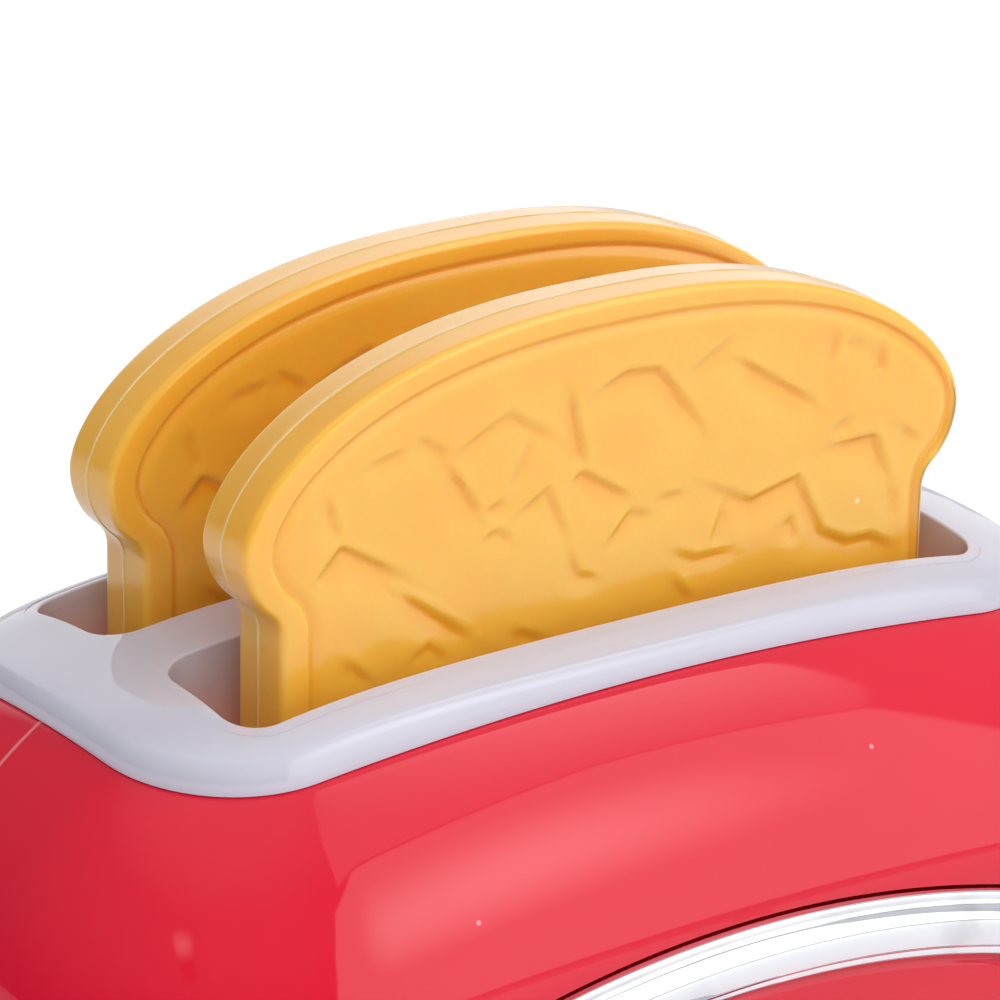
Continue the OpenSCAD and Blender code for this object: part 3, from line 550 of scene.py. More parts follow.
def core(name, inset):
    """The body filled in, drawn in by inset and cut off under the panel, to trim what stands inside it."""
    lid = edge_top - inset - 3
    rings = []
    for s, z, k in shoulder_levels(8) + [foot_level(45 * i) for i in range(3)]:
        ring = [(x, y, z - k * fall(x, y)) for x, y in outline(s - inset, 2, 10, 6)]
        rings.append([(x, y, min(h, lid)) for x, y, h in ring] if k >= 1 else ring)
    o = wrap(name, rings)
    edit(o, lambda: bpy.ops.mesh.fill_holes(sides=0))
    outward(o)
    return o


case_screw_at = [(s * (rod_offset + 10), flank_top + 4.5) for s in (-1, 1)]
case_screw_at += [(s * (rod_offset + 9), 15.0) for s in (-1, 1)]


def whole_body():
    """Both shells in one, with the ring's tray and pocket, the spindle's hole and the lever's slot."""
    wall = shell_wall_grid("body_wall")
    modify(wall, "SOLIDIFY", thickness=wall_thickness * MM, offset=-1.0, use_rim=True)
    outward(wall)
    cut(wall, prism("tray", ring_outline(2.5), 1.0, pocket + wall_thickness), "UNION")
    cut(wall, prism("pocket_tool", ring_outline(0.3), -8.0, pocket))
    cut(wall, rod("spindle_hole", spindle_bore, (0, front - 2, ring_centre), (0, front + 9, ring_centre)))
    cut(wall, block("lever_tool", (70.2, -3.0, arm_low - travel - 1), (100.0, 3.0, arm_high + 1)))
    return wall


def half_of(whole, name, side):
    """One half of the body, cut at the seam; its outer edge is eased at both ends, where the joint shows."""
    active(whole)
    bpy.ops.object.duplicate()
    o = named(bpy.context.object, name)

    def slice_at(y, drop):
        bpy.ops.mesh.select_all(action="SELECT")
        bpy.ops.mesh.bisect(plane_co=(0, y * MM * side, 0), plane_no=(0, side, 0), clear_inner=drop,
                            use_fill=drop, threshold=1e-7)

    edit(o, lambda: slice_at(0.35, False))
    edit(o, lambda: slice_at(seam, True))
    for v in o.data.vertices:
        x, y, z = (c / MM for c in v.co)
        at_cut = abs(abs(y) - seam) < 0.002
        at_end = abs(x) > 78 or z > 108 and abs(x) > 50
        outwards = Vector((x - math.copysign(half_l - shoulder_radius, x), 0, max(z - flank_top, 0)))
        if at_cut and at_end and outwards.length > shoulder_radius - 1.0:
            v.co -= outwards.normalized() * seam_ease * MM
    o.data.update()
    return o


body = whole_body()
front_shell = half_of(body, "front_case", -1)
back_shell = half_of(body, "back_case", 1)
bpy.data.objects.remove(body)


def screw_wells(o):
    """Wells for the case screws, with their tubes inside."""
    tubes = [rod(f"well_{k}", 4.6, (x, 0.2, z), (x, half_d + 4, z)) for k, (x, z) in enumerate(case_screw_at)]
    inside = joined(tubes, "wells")
    cut(inside, core("trim", 1.2), "INTERSECT")
    cut(o, inside, "UNION")
    for x, z in case_screw_at:
        cut(o, rod("head_tool", 3.1, (x, 6.0, z), (x, half_d + 12, z)))
        cut(o, rod("shank_tool", 1.65, (x, -1.0, z), (x, 7.0, z)))


screw_wells(back_shell)
for o, node in ((front_shell, "front_shell"), (back_shell, "back_shell")):
    smooth(o, 32)
    dress(o, red_plastic, "housing")
    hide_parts(node)

# ---- White top panel ----


def spread(p, q, steps):
    """The points that part the line from p to q into equal steps, without its ends."""
    return [tuple(a + (b - a) * i / steps for a, b in zip(p, q)) for i in range(1, steps)]


def rounded_slot(grow, y_mid, corner_steps=10, long_steps=60, short_steps=8):
    """A slot's outline grown by a width: a closed ring of points, counterclockwise from above."""
    l, w, r = slot_length / 2 + grow, slot_width / 2 + grow, slot_corner + grow
    corners = [(l - r, w - r, 0), (-(l - r), w - r, 90), (-(l - r), -(w - r), 180), (l - r, -(w - r), 270)]
    pts = []
    for k, (cx, cy, a) in enumerate(corners):
        turns = [polar(r, a + 90 * i / corner_steps) for i in range(corner_steps + 1)]
        arc = [(cx + x, cy + y) for x, y in turns]
        nx, ny, na = corners[(k + 1) % 4]
        x, y = polar(r, na)
        pts += arc + spread(arc[-1], (nx + x, ny + y), long_steps if k % 2 == 0 else short_steps)
    return [(x, y + y_mid) for x, y in pts]


def inside_loop(p, loop):
    """Whether a point lies inside a closed ring of points."""
    hit = False
    for (x1, y1), (x2, y2) in zip(loop, loop[1:] + loop[:1]):
        if (y1 > p[1]) != (y2 > p[1]) and p[0] < (x2 - x1) * (p[1] - y1) / (y2 - y1) + x1:
            hit = not hit
    return hit


def sheet_between(name, outer, holes, level, spacing):
    """A sheet over a flat region: outer loop, holes and a grid of points between, each set at its level."""
    pts, edges, loops = [], [], []
    for loop in [outer] + holes:
        start = len(pts)
        pts += loop
        edges += [(start + i, start + (i + 1) % len(loop)) for i in range(len(loop))]
        loops.append(set(range(start, len(pts))))
    fixed = np.array(pts)
    lo, hi = fixed.min(axis=0), fixed.max(axis=0)
    for i in range(int((hi[0] - lo[0]) / spacing)):
        for j in range(int((hi[1] - lo[1]) / spacing)):
            p = (lo[0] + (i + 0.5 + 0.5 * (j % 2)) * spacing, lo[1] + (j + 0.5) * spacing)
            if inside_loop(p, outer) and not any(inside_loop(p, h) for h in holes):
                if np.min(np.abs(fixed - p).sum(axis=1)) > spacing * 0.6:
                    pts.append(p)
    verts, _, faces = delaunay_2d_cdt([Vector(p) for p in pts], edges, [], 1, 1e-6)[:3]
    keep = [f for f in faces if not any(set(f) <= loops[k] for k in range(1, len(loops)))]
    return mesh_piece(name, [(v[0] * MM, v[1] * MM, level(v[0], v[1]) * MM) for v in verts], keep)


def rolled_edge(t):
    """A ring of the panel's rolled edge, from its foot at 0 to the crown at 90 degrees."""
    k = math.sin(math.radians(t))
    ring = outline(edge_inset - panel_roll * (1 - math.cos(math.radians(t))))
    return [(x, y, (1 - k) * (edge_top + 0.6 - fall(x, y)) + k * crown(x, y)) for x, y in ring]


def top_panel_piece():
    """Crowned panel with a rolled edge, two slots with their chutes, and the towers over the guide rods."""
    ease = 0.35
    inner = edge_inset - 2.4
    roll = []
    for s, rise in ((inner, -3.5), (inner, 0.05), (edge_inset - 0.35, 0.05), (edge_inset - 0.05, 0.2)):
        roll.append([(x, y, edge_top + rise - fall(x, y)) for x, y in outline(s)])
    roll += [rolled_edge(t) for t in (*range(0, 81, 8), 90)]
    skirt = wrap("panel_roll", roll)
    rims = [rounded_slot(ease, s * slot_pitch / 2) for s in (-1, 1)]
    top = sheet_between("panel_top", outline(edge_inset - panel_roll), rims, crown, 1.9)
    parts = [skirt, top]
    for s in (-1, 1):
        rings = []
        for t in range(0, 91, 15):
            g = ease * (1 - math.sin(math.radians(t)))
            drop = ease * (1 - math.cos(math.radians(t)))
            rings.append([(x, y, crown(x, y) - drop) for x, y in rounded_slot(g, s * slot_pitch / 2)])
        for z in (112.0, 104.0, 96.0, 88.0, chute_bottom):
            rings.append([(x, y, z) for x, y in rounded_slot(0, s * slot_pitch / 2)])
        parts.append(wrap(f"slot_{s}", rings))
    o = joined(parts, "panel")
    merge(o, 0.00002)
    outward(o)
    if sum(p.normal.z * p.area for p in o.data.polygons) < 0:
        edit(o, lambda: bpy.ops.mesh.flip_normals())
    modify(o, "SOLIDIFY", thickness=1.6 * MM, offset=-1.0, use_rim=True, use_quality_normals=True)
    towers = []
    for x in (-rod_offset, rod_offset):
        t = rod("tower", 3.6, (x, 0, 71.9), (x, 0, 113.5))
        cut(t, rod("bore", 2.08, (x, 0, 60), (x, 0, 97.5)))
        towers.append(t)
    o = joined([o] + towers, "panel")
    smooth(o, 40)
    dress(o, white_plastic, "housing")
    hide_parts("top_panel")


top_panel_piece()

# ---- Chrome ring and the panel inside it ----


def ring_piece():
    """Chrome ring: a domed band between two fine beads."""
    w, h = 8.0, 5.6
    section = [(-w, 0.0), (-w, h - 2.05), (-w + 0.12, h - 1.86), (-w + 0.55, h - 1.62), (-w + 0.95, h - 1.62),
               (-w + 1.12, h - 1.66)]
    dome = [math.radians(a) for a in range(176, 3, -7)]
    section += [(-w / 2 - 0.2 + 2.75 * math.cos(a), h - 1.62 + 1.6 * math.sin(a)) for a in dome]
    section += [(-1.28, h - 1.66), (-1.1, h - 1.52), (-0.62, h - 1.42), (-0.2, h - 1.5), (-0.05, h - 1.66),
                (0.0, h - 1.9), (0.0, 0.0)]
    rings = []
    for d, lift in section + section[:1]:
        rings.append([(x, front + pocket - 0.05 - lift, z + ring_centre) for x, z in ring_outline(d)])
    o = wrap("chrome_ring", rings)
    outward(o)
    smooth(o, 50)
    dress(o, chrome, "housing")
    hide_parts("trim_ring")


def inner_panel():
    """Red plate inside the ring, with a stepped rim, the spindle's hole and a half round of raised marks."""
    outer, inner, face_depth, back_depth = -8.2, -10.6, 0.30, 2.95
    steps = [(outer, back_depth), (outer, 1.05), (-8.35, 0.85), (-9.0, 0.80), (-9.25, 0.72), (-9.5, 0.45),
             (-9.9, 0.32), (inner, face_depth)]
    rim = wrap("inner_rim", [on_front(ring_outline(d), depth) for d, depth in steps])
    hole = [polar(spindle_bore, 360 * i / 48) for i in range(48)]
    face = sheet_between("inner_face", ring_outline(inner), [hole], lambda x, y: 0.0, 3.0)
    under = sheet_between("inner_back", ring_outline(outer), [hole], lambda x, y: 0.0, 6.0)
    for part, depth in ((face, face_depth), (under, back_depth)):
        for v in part.data.vertices:
            v.co = (v.co.x, (front + depth) * MM, v.co.y + ring_centre * MM)
    bore = wrap("inner_bore", [on_front(hole, depth) for depth in (face_depth, back_depth)])
    o = joined([rim, face, under, bore], "inner_panel")
    merge(o, 0.00002)
    outward(o)
    size = (1.6 * MM, 0.9 * MM, 0.9 * MM)
    mark_circle = 16.1
    marks = []
    for i in range(7):
        a = math.radians(210 - i * 40)
        bpy.ops.mesh.primitive_cube_add(size=1, scale=size)
        mark = bpy.context.object
        modify(mark, "BEVEL", width=0.25 * MM, segments=3)
        x, z = mark_circle * math.cos(a), mark_circle * math.sin(a)
        spot = Matrix.Translation(Vector((x, front + 0.25, z + ring_centre)) * MM)
        mark.matrix_world = spot @ Matrix.Rotation(-a, 4, "Y") @ Matrix.Diagonal((*size, 1))
        settle(mark)
        marks.append(mark)
    o = joined([o] + marks, "inner_panel")
    smooth(o, 40)
    dress(o, red_plastic, "housing")
    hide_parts("front_panel")


ring_piece()
inner_panel()

# ---- Knob and lever handle ----


def knob_piece():
    """Round skirt with a ribbed edge and a waisted grip bar."""
    profile = [(0.0, 0.4), (knob_radius - 0.5, 0.4), (knob_radius, 0.8), (knob_radius, 1.9),
               (knob_radius - 0.4, 2.5), (knob_radius - 1.4, 3.05), (knob_radius - 2.4, 3.3), (8.0, 3.5),
               (6.4, 3.9), (5.6, 5.0), (5.2, 6.6), (4.9, 7.6), (4.0, 8.0), (0.0, 8.1)]
    count, grip_count = 144, 64
    rings = []
    for r, lift in profile:
        ribs = 0.22 if r > knob_radius - 0.6 and 0.6 < lift < 2.6 else 0.0
        ring = [polar(max(r - ribs * (k % 4 < 2), 0.001), 360 * k / count) for k in range(count)]
        rings.append(on_front(ring, -lift))
    skirt = wrap("knob_skirt", rings)
    outward(skirt)
    levels = []
    for lift, long_half, wide in ((3.2, 11.6, 3.1), (4.4, 11.7, 2.75), (7.0, 11.3, 2.45), (10.0, 10.6, 2.2),
                                  (12.6, 9.6, 1.95), (13.8, 8.6, 1.6), (14.5, 7.2, 1.0), (14.7, 5.0, 0.4)):
        ring = []
        for k in range(grip_count):
            turn = 2 * math.pi * k / grip_count
            c, s = math.cos(turn), math.sin(turn)
            waist = 1 - 0.16 * (1 - abs(s) ** 1.5)
            x = math.copysign(abs(c) ** 0.55, c) * wide * waist
            ring.append((x, front - lift, ring_centre + math.copysign(abs(s) ** 0.75, s) * long_half))
        levels.append(ring)
    grip = wrap("knob_grip", levels)
    edit(grip, lambda: bpy.ops.mesh.fill_holes(sides=0))
    outward(grip)
    dot = ring_centre + 12.6
    pointer = rod("pointer", 0.55, (0, front - 3.1, dot), (0, front - 3.45, dot), 24)
    for part in (skirt, grip):
        cut(part, rod("bore", shaft_bore, (0, front + 2, ring_centre), (0, front - 11, ring_centre)))
    o = joined([skirt, grip, pointer], "knob")
    merge(o, 0.000001)
    smooth(o, 38)
    dress(o, white_plastic, "timer_spindle")
    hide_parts("timer_knob")


def handle_piece():
    """Rounded paddle pressed on the carriage's arm, dished on top for a thumb."""
    mid = (arm_low + arm_high) / 2
    cx, hx, hy, hz = (lever_in + lever_out) / 2, (lever_out - lever_in) / 2, 13.0, 5.2
    dish, tilt = 0.14, 0.9
    bpy.ops.mesh.primitive_cube_add(size=2, location=(cx * MM, 0, (mid - 0.4) * MM),
                                    scale=(hx * MM, hy * MM, hz * MM))
    o = named(bpy.context.object, "handle")
    settle(o)
    edit(o, lambda: bpy.ops.mesh.subdivide(number_cuts=1))
    modify(o, "SUBSURF", levels=5, render_levels=5)
    low, high = Vector(o.bound_box[0]), Vector(o.bound_box[6])
    for v in o.data.vertices:
        x, y, z = v.co
        u = (x - low.x) / (high.x - low.x) * 2 - 1
        w = (y - low.y) / (high.y - low.y) * 2 - 1
        t = (z - low.z) / (high.z - low.z) * 2 - 1
        dished = 1 - dish * max(t, 0) * (1 - min(w * w, 1)) * (1 - min(u * u, 1))
        v.co = (cx * MM + u * hx * MM, w * hy * MM, (mid - 0.5 - tilt * u) * MM + t * hz * MM * dished)
    cut(o, block("arm_tool", (lever_in - 3, -2.6, arm_low - 0.1), (lever_in + 8.2, 2.6, arm_high + 0.1)))
    smooth(o, 45)
    dress(o, white_plastic, "carriage")
    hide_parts("lever_handle")


knob_piece()
handle_piece()

# ---- Slices ----

# The rim's draft and the radius of its eased edges
draft, edge = 0.15, 0.9
# Inset at which the crust's band ends and its level there, then the inset and amount of the face's shift
band_end, band_sunk = 4.6, -0.18
shift_at, shift_x, shift_z = 2.1, 1.3, -0.3
# Creases of the crumb face as (x, z) from the widest line's middle: deep ones first, then faint ones
deep_creases = [
    [(-42, -5.5), (-38, -1.5), (-29.5, -6.5)], [(-23.5, 5), (-19.5, -1)], [(-30, -8.5), (-20.5, -15.5)],
    [(-7, 11), (-5, 2)], [(16.5, 11), (28.5, 3.5)], [(39, 9.5), (39, 5.5)],
    [(30.5, -2.5), (38, -2.5), (40.5, -8)],
    [(12.5, -3.5), (19.5, -7), (26.5, -5.5), (30.5, -13), (34.5, -15), (38, -15), (41.5, -17), (44, -16)],
    [(-4, 10), (1, 12), (5.5, 11.5), (12, 3.5)], [(-6.5, 0), (-5, 1), (1.5, -3)],
    [(-38, -27), (-30, -31), (-26, -27)], [(-18, -29), (-9, -25), (-4, -31)],
    [(4, -27), (12, -31), (17, -26), (25, -28)], [(30, -33), (37, -29), (40, -36)],
    [(-41, -45), (-33, -41), (-30, -47)], [(-20, -42), (-12, -38), (-7, -44), (2, -43)],
    [(9, -40), (15, -45), (24, -41)], [(29, -48), (36, -44)], [(-34, -57), (-25, -54), (-19, -59)],
    [(-8, -56), (1, -52), (9, -57)], [(18, -55), (27, -58), (33, -54)],
]
soft_creases = [
    [(-40, 4.5), (-38.5, 0)], [(-23, 6.5), (-15.5, 10), (-9, 6)],
    [(-28.5, -16.5), (-26, -15.5), (-23.5, -17.5)], [(-37.5, -15), (-34, -18)],
    [(-19, -4.5), (-17, -3.5), (-15, -5)], [(-14.5, -16), (-10, -18)], [(-28, 9.5), (-24, 7)],
    [(-34.5, 7.5), (-29.5, 8.5)], [(-14.5, -2.5), (-10, 0), (-7, -6.5)], [(-18.5, -1), (-16, 0)],
    [(-12.5, 6.5), (-15, 1.5)], [(-1.5, -8.5), (2, -5), (5.5, -6)], [(9.5, 10), (16.5, 14)],
    [(31, 7.5), (32.5, 13)], [(33, 10), (36, 10)], [(42, -2), (46, -5)], [(31.5, -0.5), (34, 0.5)],
    [(6, -4), (9.5, -4)], [(26, -10), (26.5, -13)], [(8.5, -11), (11.5, -12.5), (17, -12.5)],
    [(15.5, -7), (14, -11)], [(-6.5, -8.5), (-5.5, -11), (-3, -12)], [(8.5, -14.5), (11, -17.5)],
    [(41.5, -9), (42, -13.5)], [(-36, -22), (-31, -24)], [(-22, -21), (-16, -23)], [(-2, -20), (3, -22)],
    [(20, -19), (24, -22)], [(34, -22), (38, -25)], [(-27, -35), (-23, -38)], [(-2, -35), (4, -37)],
    [(22, -34), (27, -38)], [(-38, -51), (-35, -54)], [(-15, -49), (-10, -52)], [(12, -50), (16, -52)],
    [(36, -52), (39, -55)],
]


def half_slice(d, crown_steps=64, lobe_steps=20, neck_steps=12, side_steps=40, foot_steps=12, low_steps=44):
    """Right half of a slice's outline, from its crown down to the middle of its foot, drawn in by d."""
    a, b, r, f = crown_half - d, crown_rise - d, lobe_radius - d, neck_radius + d
    side = straight_half - d
    lean = math.degrees(math.acos((side + f - (a - r)) / (r + f)))
    low, foot = crown_rise - toast_height + d, toast_foot - d
    pts = []
    for i in range(crown_steps + 1):
        t = math.radians(90 - 90 * i / crown_steps)
        pts.append((a * max(math.cos(t), 0) ** (1 / 1.2), b * max(math.sin(t), 0) ** (1 / 0.85)))
    for i in range(1, lobe_steps + 1):
        x, z = polar(r, -lean * i / lobe_steps)
        pts.append((a - r + x, z))
    for i in range(1, neck_steps + 1):
        x, z = polar(f, 180 - lean + lean * i / neck_steps)
        pts.append((side + f + x, z - (r + f) * math.sin(math.radians(lean))))
    top = pts[-1][1]
    for i in range(1, side_steps + 1):
        pts.append((side, top + (low + foot - top) * i / side_steps))
    for i in range(1, foot_steps + 1):
        x, z = polar(foot, -90 * i / foot_steps)
        pts.append((side - foot + x, low + foot + z))
    for i in range(1, low_steps + 1):
        pts.append(((side - foot) * (1 - i / low_steps), low))
    return pts


def slice_outline(d):
    """A slice's whole outline as (x, z) from the widest line's middle, drawn in by d."""
    h = half_slice(d)
    return h + [(-x, z) for x, z in reversed(h[1:-1])]


def crease_relief(points, lines, depth, run):
    """Height of the crumb face over its plane: each crease drops sharply on one side and fades on the other.

    The fading side lies below a flat crease and mostly to the left of a steep one.
    """
    x, z = points[:, 0], points[:, 1]
    out = np.zeros(len(points))
    for line in lines:
        best = np.full(len(points), 1e9)
        signed = np.zeros(len(points))
        along = np.zeros(len(points))
        total = sum(math.dist(p, q) for p, q in zip(line, line[1:]))
        gone = 0.0
        for p, q in zip(line, line[1:]):
            span = math.dist(p, q)
            ux, uz = (q[0] - p[0]) / span, (q[1] - p[1]) / span
            t = np.clip((x - p[0]) * ux + (z - p[1]) * uz, 0, span)
            dx, dz = x - (p[0] + t * ux), z - (p[1] + t * uz)
            dist = np.hypot(dx, dz)
            across = dx * uz - dz * ux
            if uz > 0 and abs(uz) > abs(ux) or ux < 0:
                across = -across
            nearer = dist < best
            best = np.where(nearer, dist, best)
            signed = np.where(nearer, np.where(np.sign(across) >= 0, dist, -dist), signed)
            along = np.where(nearer, gone + t, along)
            gone += span
        fade = np.clip(np.minimum(along, total - along) / (0.30 * total) + 0.30, 0, 1)
        gentle = np.clip(1 - signed / run, 0, 1) ** 1.6
        steep = np.clip(1 + signed / 0.75, 0, 1) ** 1.3
        shape = np.where(signed >= 0, gentle, steep)
        lip = 0.22 * np.exp(-((signed + 1.0) / 0.55) ** 2)
        out += (lip - shape) * depth * fade * (best < run * 1.2)
    return out


def crumb_height(points, flip):
    """Height of the whole crumb face over the crust's band, in millimetres."""
    p = points * np.array([-1.0, 1.0]) if flip else points
    relief = crease_relief(p, deep_creases, 0.62, 4.6) + crease_relief(p, soft_creases, 0.42, 3.3)
    waves = np.array([noise.noise(Vector((x * 0.09 + 7, z * 0.09, 1.3))) for x, z in p])
    small = np.array([noise.noise(Vector((x * 0.32, z * 0.32, 4.1))) for x, z in p])
    return np.clip(relief, -1.0, 0.20) + 0.10 * waves + 0.035 * small - 0.22


def shifted_outline(d):
    """A line of the face, whose outline lies a little lower than the rim's and towards the lever."""
    share = min((d - draft - edge) / (shift_at - draft - edge), 1.0)
    return [(x + shift_x * share, z + shift_z * share) for x, z in slice_outline(d)]


def slice_face(name, side, flip):
    """One face of a slice: crust band, groove, ramp and the creased crumb face, side -1 to the front."""
    rings = [(draft + edge, 0.0), (1.6, 0.0), (shift_at, 0.0), (2.3, -0.03), (2.55, -0.19), (2.8, -0.44),
             (2.95, -0.54), (3.1, -0.56), (3.35, -0.47), (3.8, -0.33), (4.2, -0.23), (band_end, band_sunk)]
    band = [[(x, side * (toast_half + h), z) for x, z in shifted_outline(d)] for d, h in rings]
    grid = wrap(name + "_band", band)
    border = shifted_outline(band_end)
    loop = np.array(border)
    spacing, row_share, clear, blend_width = 0.62, 0.866, 0.3, 2.2
    lo, hi = loop.min(axis=0), loop.max(axis=0)
    inner = []
    for j in range(int((hi[1] - lo[1]) / (spacing * row_share))):
        z = lo[1] + (j + 0.5) * spacing * row_share
        crossed = [(p, q) for p, q in zip(border, border[1:] + border[:1]) if (p[1] > z) != (q[1] > z)]
        hits = sorted(p[0] + (z - p[1]) / (q[1] - p[1]) * (q[0] - p[0]) for p, q in crossed)
        for a, b in zip(hits[::2], hits[1::2]):
            row = [a + (i + 0.5 + 0.5 * (j % 2)) * spacing for i in range(int((b - a) / spacing))]
            inner += [(x, z) for x in row if x < b - clear]
    pts = border + [p for p in inner if np.min(np.abs(loop - p).max(axis=1)) > clear]
    edges = [(i, (i + 1) % len(border)) for i in range(len(border))]
    verts, _, faces = delaunay_2d_cdt([Vector(p) for p in pts], edges, [], 1, 1e-6)[:3]
    flat = np.array([(v[0], v[1]) for v in verts])
    height = crumb_height(flat, flip)
    reach = np.array([np.min(np.hypot(*(loop - p).T)) for p in flat])
    blend = np.clip(reach / blend_width, 0, 1)
    height = band_sunk * (1 - blend) + height * blend
    points = [(x * MM, side * (toast_half + h) * MM, z * MM) for (x, z), h in zip(flat, height)]
    return [grid, mesh_piece(name, points, faces)]


def slice_rim():
    """The drafted rim between the faces, with its two eased edges and an uneven mould line round its middle."""
    turns = [math.radians(a) for a in range(0, 91, 15)]
    half = [(draft + edge * (1 - math.sin(a)), toast_half - edge * (1 - math.cos(a))) for a in turns]
    half += [(0.11, 2.7), (0.06, 1.6), (0.02, 0.5), (0.0, 0.24), (-0.05, 0.14), (-0.15, 0.06)]
    base = slice_outline(0.0)
    rings = []
    for d, t in half + [(d, -t) for d, t in reversed(half)]:
        ring = []
        for (bx, bz), (x, z) in zip(base, slice_outline(d)):
            if d < 0:
                flash = 0.75 + 0.6 * noise.noise(Vector((x * 0.22, z * 0.22, 9.0)))
                x, z = bx + (x - bx) * flash, bz + (z - bz) * flash
            ring.append((x, t, z))
        rings.append(ring)
    return wrap("slice_rim", rings)


def slice_piece():
    """One slice at the frame's origin, with the back face's creases mirrored."""
    parts = [slice_rim()] + slice_face("slice_front", -1, False) + slice_face("slice_back", 1, True)
    o = joined(parts, "slice_near")
    merge(o, 0.00003)
    outward(o)
    smooth(o, 60)
    return o


slice_near = slice_piece()
active(slice_near)
bpy.ops.object.duplicate()
slice_far = named(bpy.context.object, "slice_far")
for o, y, body_name, node in ((slice_near, -slot_pitch / 2, "front_slice", "toast_front"),
                              (slice_far, slot_pitch / 2, "back_slice", "toast_back")):
    o.location = Vector((toast_shift, y, toast_widest)) * MM
    settle(o)
    dress(o, toast_plastic, body_name)
    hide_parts(node)

# ---- Materials of the solids that show as they are ----

finishes = {
    inner_plastic: ["carriage"], base_plastic: ["base_plate"], rubber: ["rubber_feet"],
    steel: ["case_screws", "base_screws", "guide_rods", "timer_shaft", "pallet", "timer_pillars", "timer_screws",
            "latch_pin"],
    spring_steel: ["lift_springs", "mainspring"], plate_steel: ["timer_front_plate", "timer_back_plate"],
    gear_plastic: ["drive_gear", "snail_cam", "second_gear", "escape_wheel", "latch"],
}
for m, names in finishes.items():
    for n in names:
        mesh = nodes[n].data
        if not mesh.materials:
            mesh.materials.append(m)
        for k in range(len(mesh.materials)):
            mesh.materials[k] = m

# ---- Floor, lights and camera ----


def paper(name, tone, glow, mirrored):
    """Plain paper that also glows to the camera and the gloss, so that it is white with soft shadows."""
    m = bpy.data.materials.new(name)
    r = blank(m)
    matt = r.add("ShaderNodeBsdfDiffuse", Color=(*tone, 1))
    path = r.add("ShaderNodeLightPath").outputs
    seen = r.math("ADD", r.math("MULTIPLY", path["Is Camera Ray"], glow),
                  r.math("MULTIPLY", path["Is Glossy Ray"], mirrored))
    light = r.add("ShaderNodeEmission", Color=(1, 1, 1, 1), Strength=seen)
    both = r.add("ShaderNodeAddShader")
    r.link(matt.outputs[0], both.inputs[0])
    r.link(light.outputs[0], both.inputs[1])
    r.link(both.outputs[0], r.add("ShaderNodeOutputMaterial").inputs["Surface"])
    return m


bpy.ops.mesh.primitive_plane_add(size=14, location=(0, 0, 0))
floor = named(bpy.context.object, "studio_floor")
floor.data.materials.append(paper("white studio paper", (0.80, 0.80, 0.82), 0.48, 0.25))


def softbox(name, corners, strength, core, extra, reach):
    """A glowing sheet that the camera doesn't see, brightest at its core."""
    o = mesh_piece(name, corners, [tuple(range(len(corners)))])
    m = bpy.data.materials.new(name)
    r = blank(m)
    light = r.add("ShaderNodeEmission", Color=(1, 1, 1, 1), Strength=strength)
    place = r.place()
    away = r.add("ShaderNodeVectorMath", {"operation": "DISTANCE"})
    r.put(away.inputs, (place, core))
    r.link(r.ramp(away.outputs["Value"], 0.0, reach, strength + extra, strength), light.inputs["Strength"])
    r.link(light.outputs[0], r.add("ShaderNodeOutputMaterial").inputs["Surface"])
    o.data.materials.append(m)
    o.visible_camera = False


def lamp(name, at, target, size, power):
    """A soft lamp that leaves no image of itself in the gloss."""
    data = bpy.data.lights.new(name, "AREA")
    data.size, data.energy = size, power
    o = bpy.data.objects.new(name, data)
    o.location = at
    o.rotation_euler = (Vector(target) - Vector(at)).to_track_quat("-Z", "Y").to_euler()
    o.visible_glossy = False
    bpy.context.collection.objects.link(o)


softbox("front_softbox", [
    (-0.02, -1.25, 0.10), (0.02, -1.12, 0.61), (0.06, -0.98, 0.85), (0.13, -0.80, 1.01), (0.32, -0.64, 1.06),
    (0.60, -0.53, 1.01), (0.84, -0.47, 0.87), (0.90, -0.56, 0.75), (1.0, -0.75, 0.45), (1.05, -0.85, 0.05),
], 1.7, (0.52, -0.84, 0.78), 2.5, 0.34)
softbox("side_softbox", [
    (0.60, -0.526, 1.017), (0.84, -0.464, 0.878), (0.85, -0.37, 0.92), (0.83, -0.30, 0.96), (0.80, -0.22, 1.0),
    (0.70, -0.05, 1.1), (0.35, 0.0, 1.25), (0.20, -0.50, 1.15), (0.20, -0.70, 1.07), (0.32, -0.632, 1.07),
], 1.15, (0.66, -0.12, 1.10), 1.5, 0.48)
softbox("left_strip", [
    (-0.62, -0.50, 1.06), (-0.70, -0.42, 1.02), (-0.80, -0.66, 0.80), (-0.74, -0.72, 0.82),
], 0.2, (-0.70, -0.52, 0.98), 1.6, 0.12)
lamp("key_light", (-0.45, -0.80, 1.10), (0, 0, 0.12), 0.9, 5.8)

# The room: the gloss sees it brighter upwards, to the right and behind the object, everything else is lit by one
# even level, and the camera sees it white

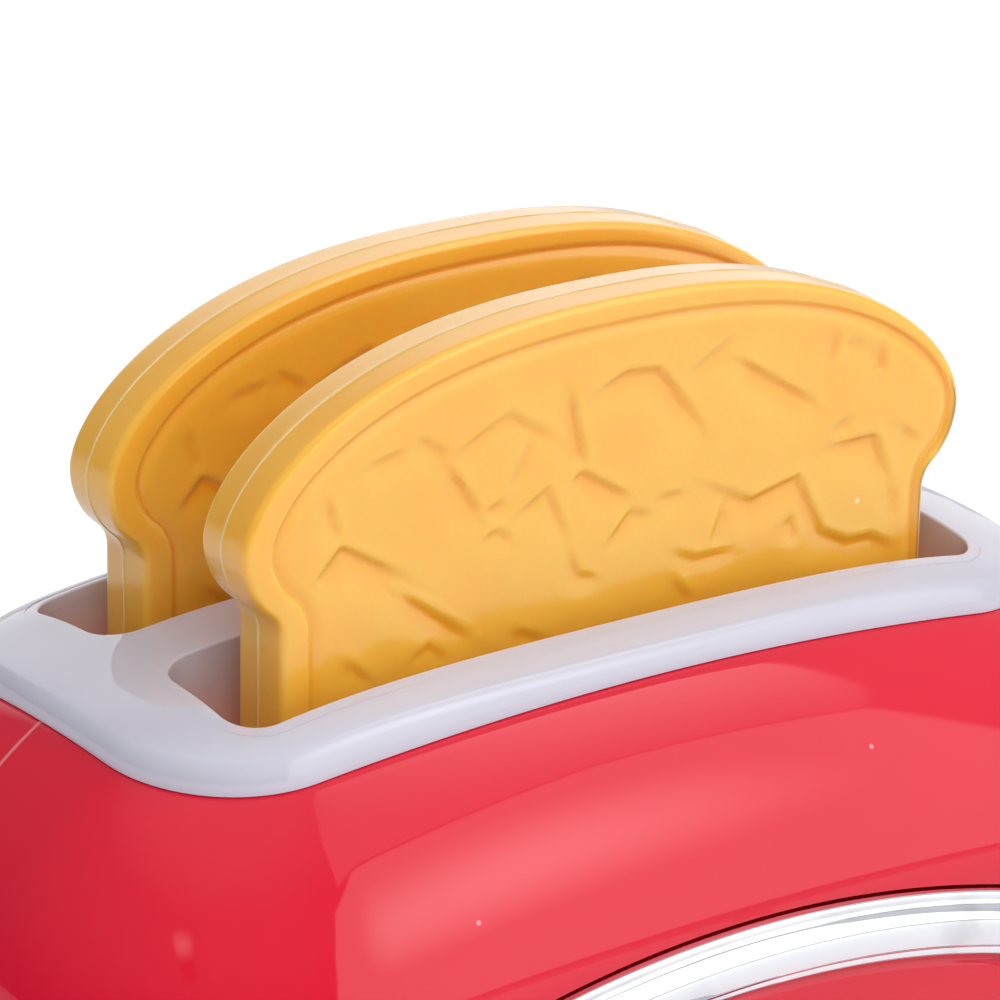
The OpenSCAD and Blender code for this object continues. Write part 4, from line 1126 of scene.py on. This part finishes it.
world = bpy.data.worlds.new("studio")
bpy.context.scene.world = world
even_level = 0.53
w = blank(world)
towards = w.add("ShaderNodeTexCoord").outputs["Generated"]
parts = w.add("ShaderNodeSeparateXYZ", Vector=towards).outputs
behind = w.math("ADD", w.math("MULTIPLY", parts["X"], 0.594), w.math("MULTIPLY", parts["Y"], 0.804))
room = w.math("ADD", w.ramp(parts["Z"], 0.0, 0.8, 0.12, 0.40), w.ramp(parts["Z"], 0.8, 1.0, 0.0, 0.50))
room = w.math("ADD", room, w.ramp(parts["X"], 0.2, 0.8, 0.0, 0.40))
room = w.math("MAXIMUM", room, w.ramp(behind, 0.50, 0.85, 0.0, 1.35))
path = w.add("ShaderNodeLightPath").outputs
level = w.math("MAXIMUM", w.math("MULTIPLY", path["Is Glossy Ray"], room),
               w.math("MULTIPLY", w.math("SUBTRACT", 1.0, path["Is Glossy Ray"]), even_level))
tint = w.mix(path["Is Camera Ray"], (0.97, 0.97, 1.0, 1), (1, 1, 1, 1))
sky = w.add("ShaderNodeBackground", Color=tint, Strength=w.math("MAXIMUM", path["Is Camera Ray"], level))
w.link(sky.outputs[0], w.add("ShaderNodeOutputWorld").inputs["Surface"])

# The camera, fitted to the photograph
camera_at, camera_lens = (-0.33680, -0.45315, 0.32466), 184.788
azimuth, elevation, roll = math.radians(-36.45), math.radians(19.60), math.radians(1.19)
right = Vector((math.cos(azimuth), math.sin(azimuth), 0))
back = Vector((math.sin(azimuth) * math.cos(elevation), -math.cos(azimuth) * math.cos(elevation),
               math.sin(elevation)))
up = back.cross(right)
side_dir = right * math.cos(roll) + up * math.sin(roll)
up_dir = up * math.cos(roll) - right * math.sin(roll)
camera = bpy.data.objects.new("camera", bpy.data.cameras.new("camera"))
camera.data.sensor_width = 36
camera.data.lens = camera_lens
camera.data.clip_end = 50
turned = Matrix((side_dir, up_dir, back)).transposed().to_4x4()
camera.matrix_world = Matrix.Translation(camera_at) @ turned
bpy.context.collection.objects.link(camera)
bpy.context.scene.camera = camera
bpy.context.scene.view_settings.view_transform = "Standard"
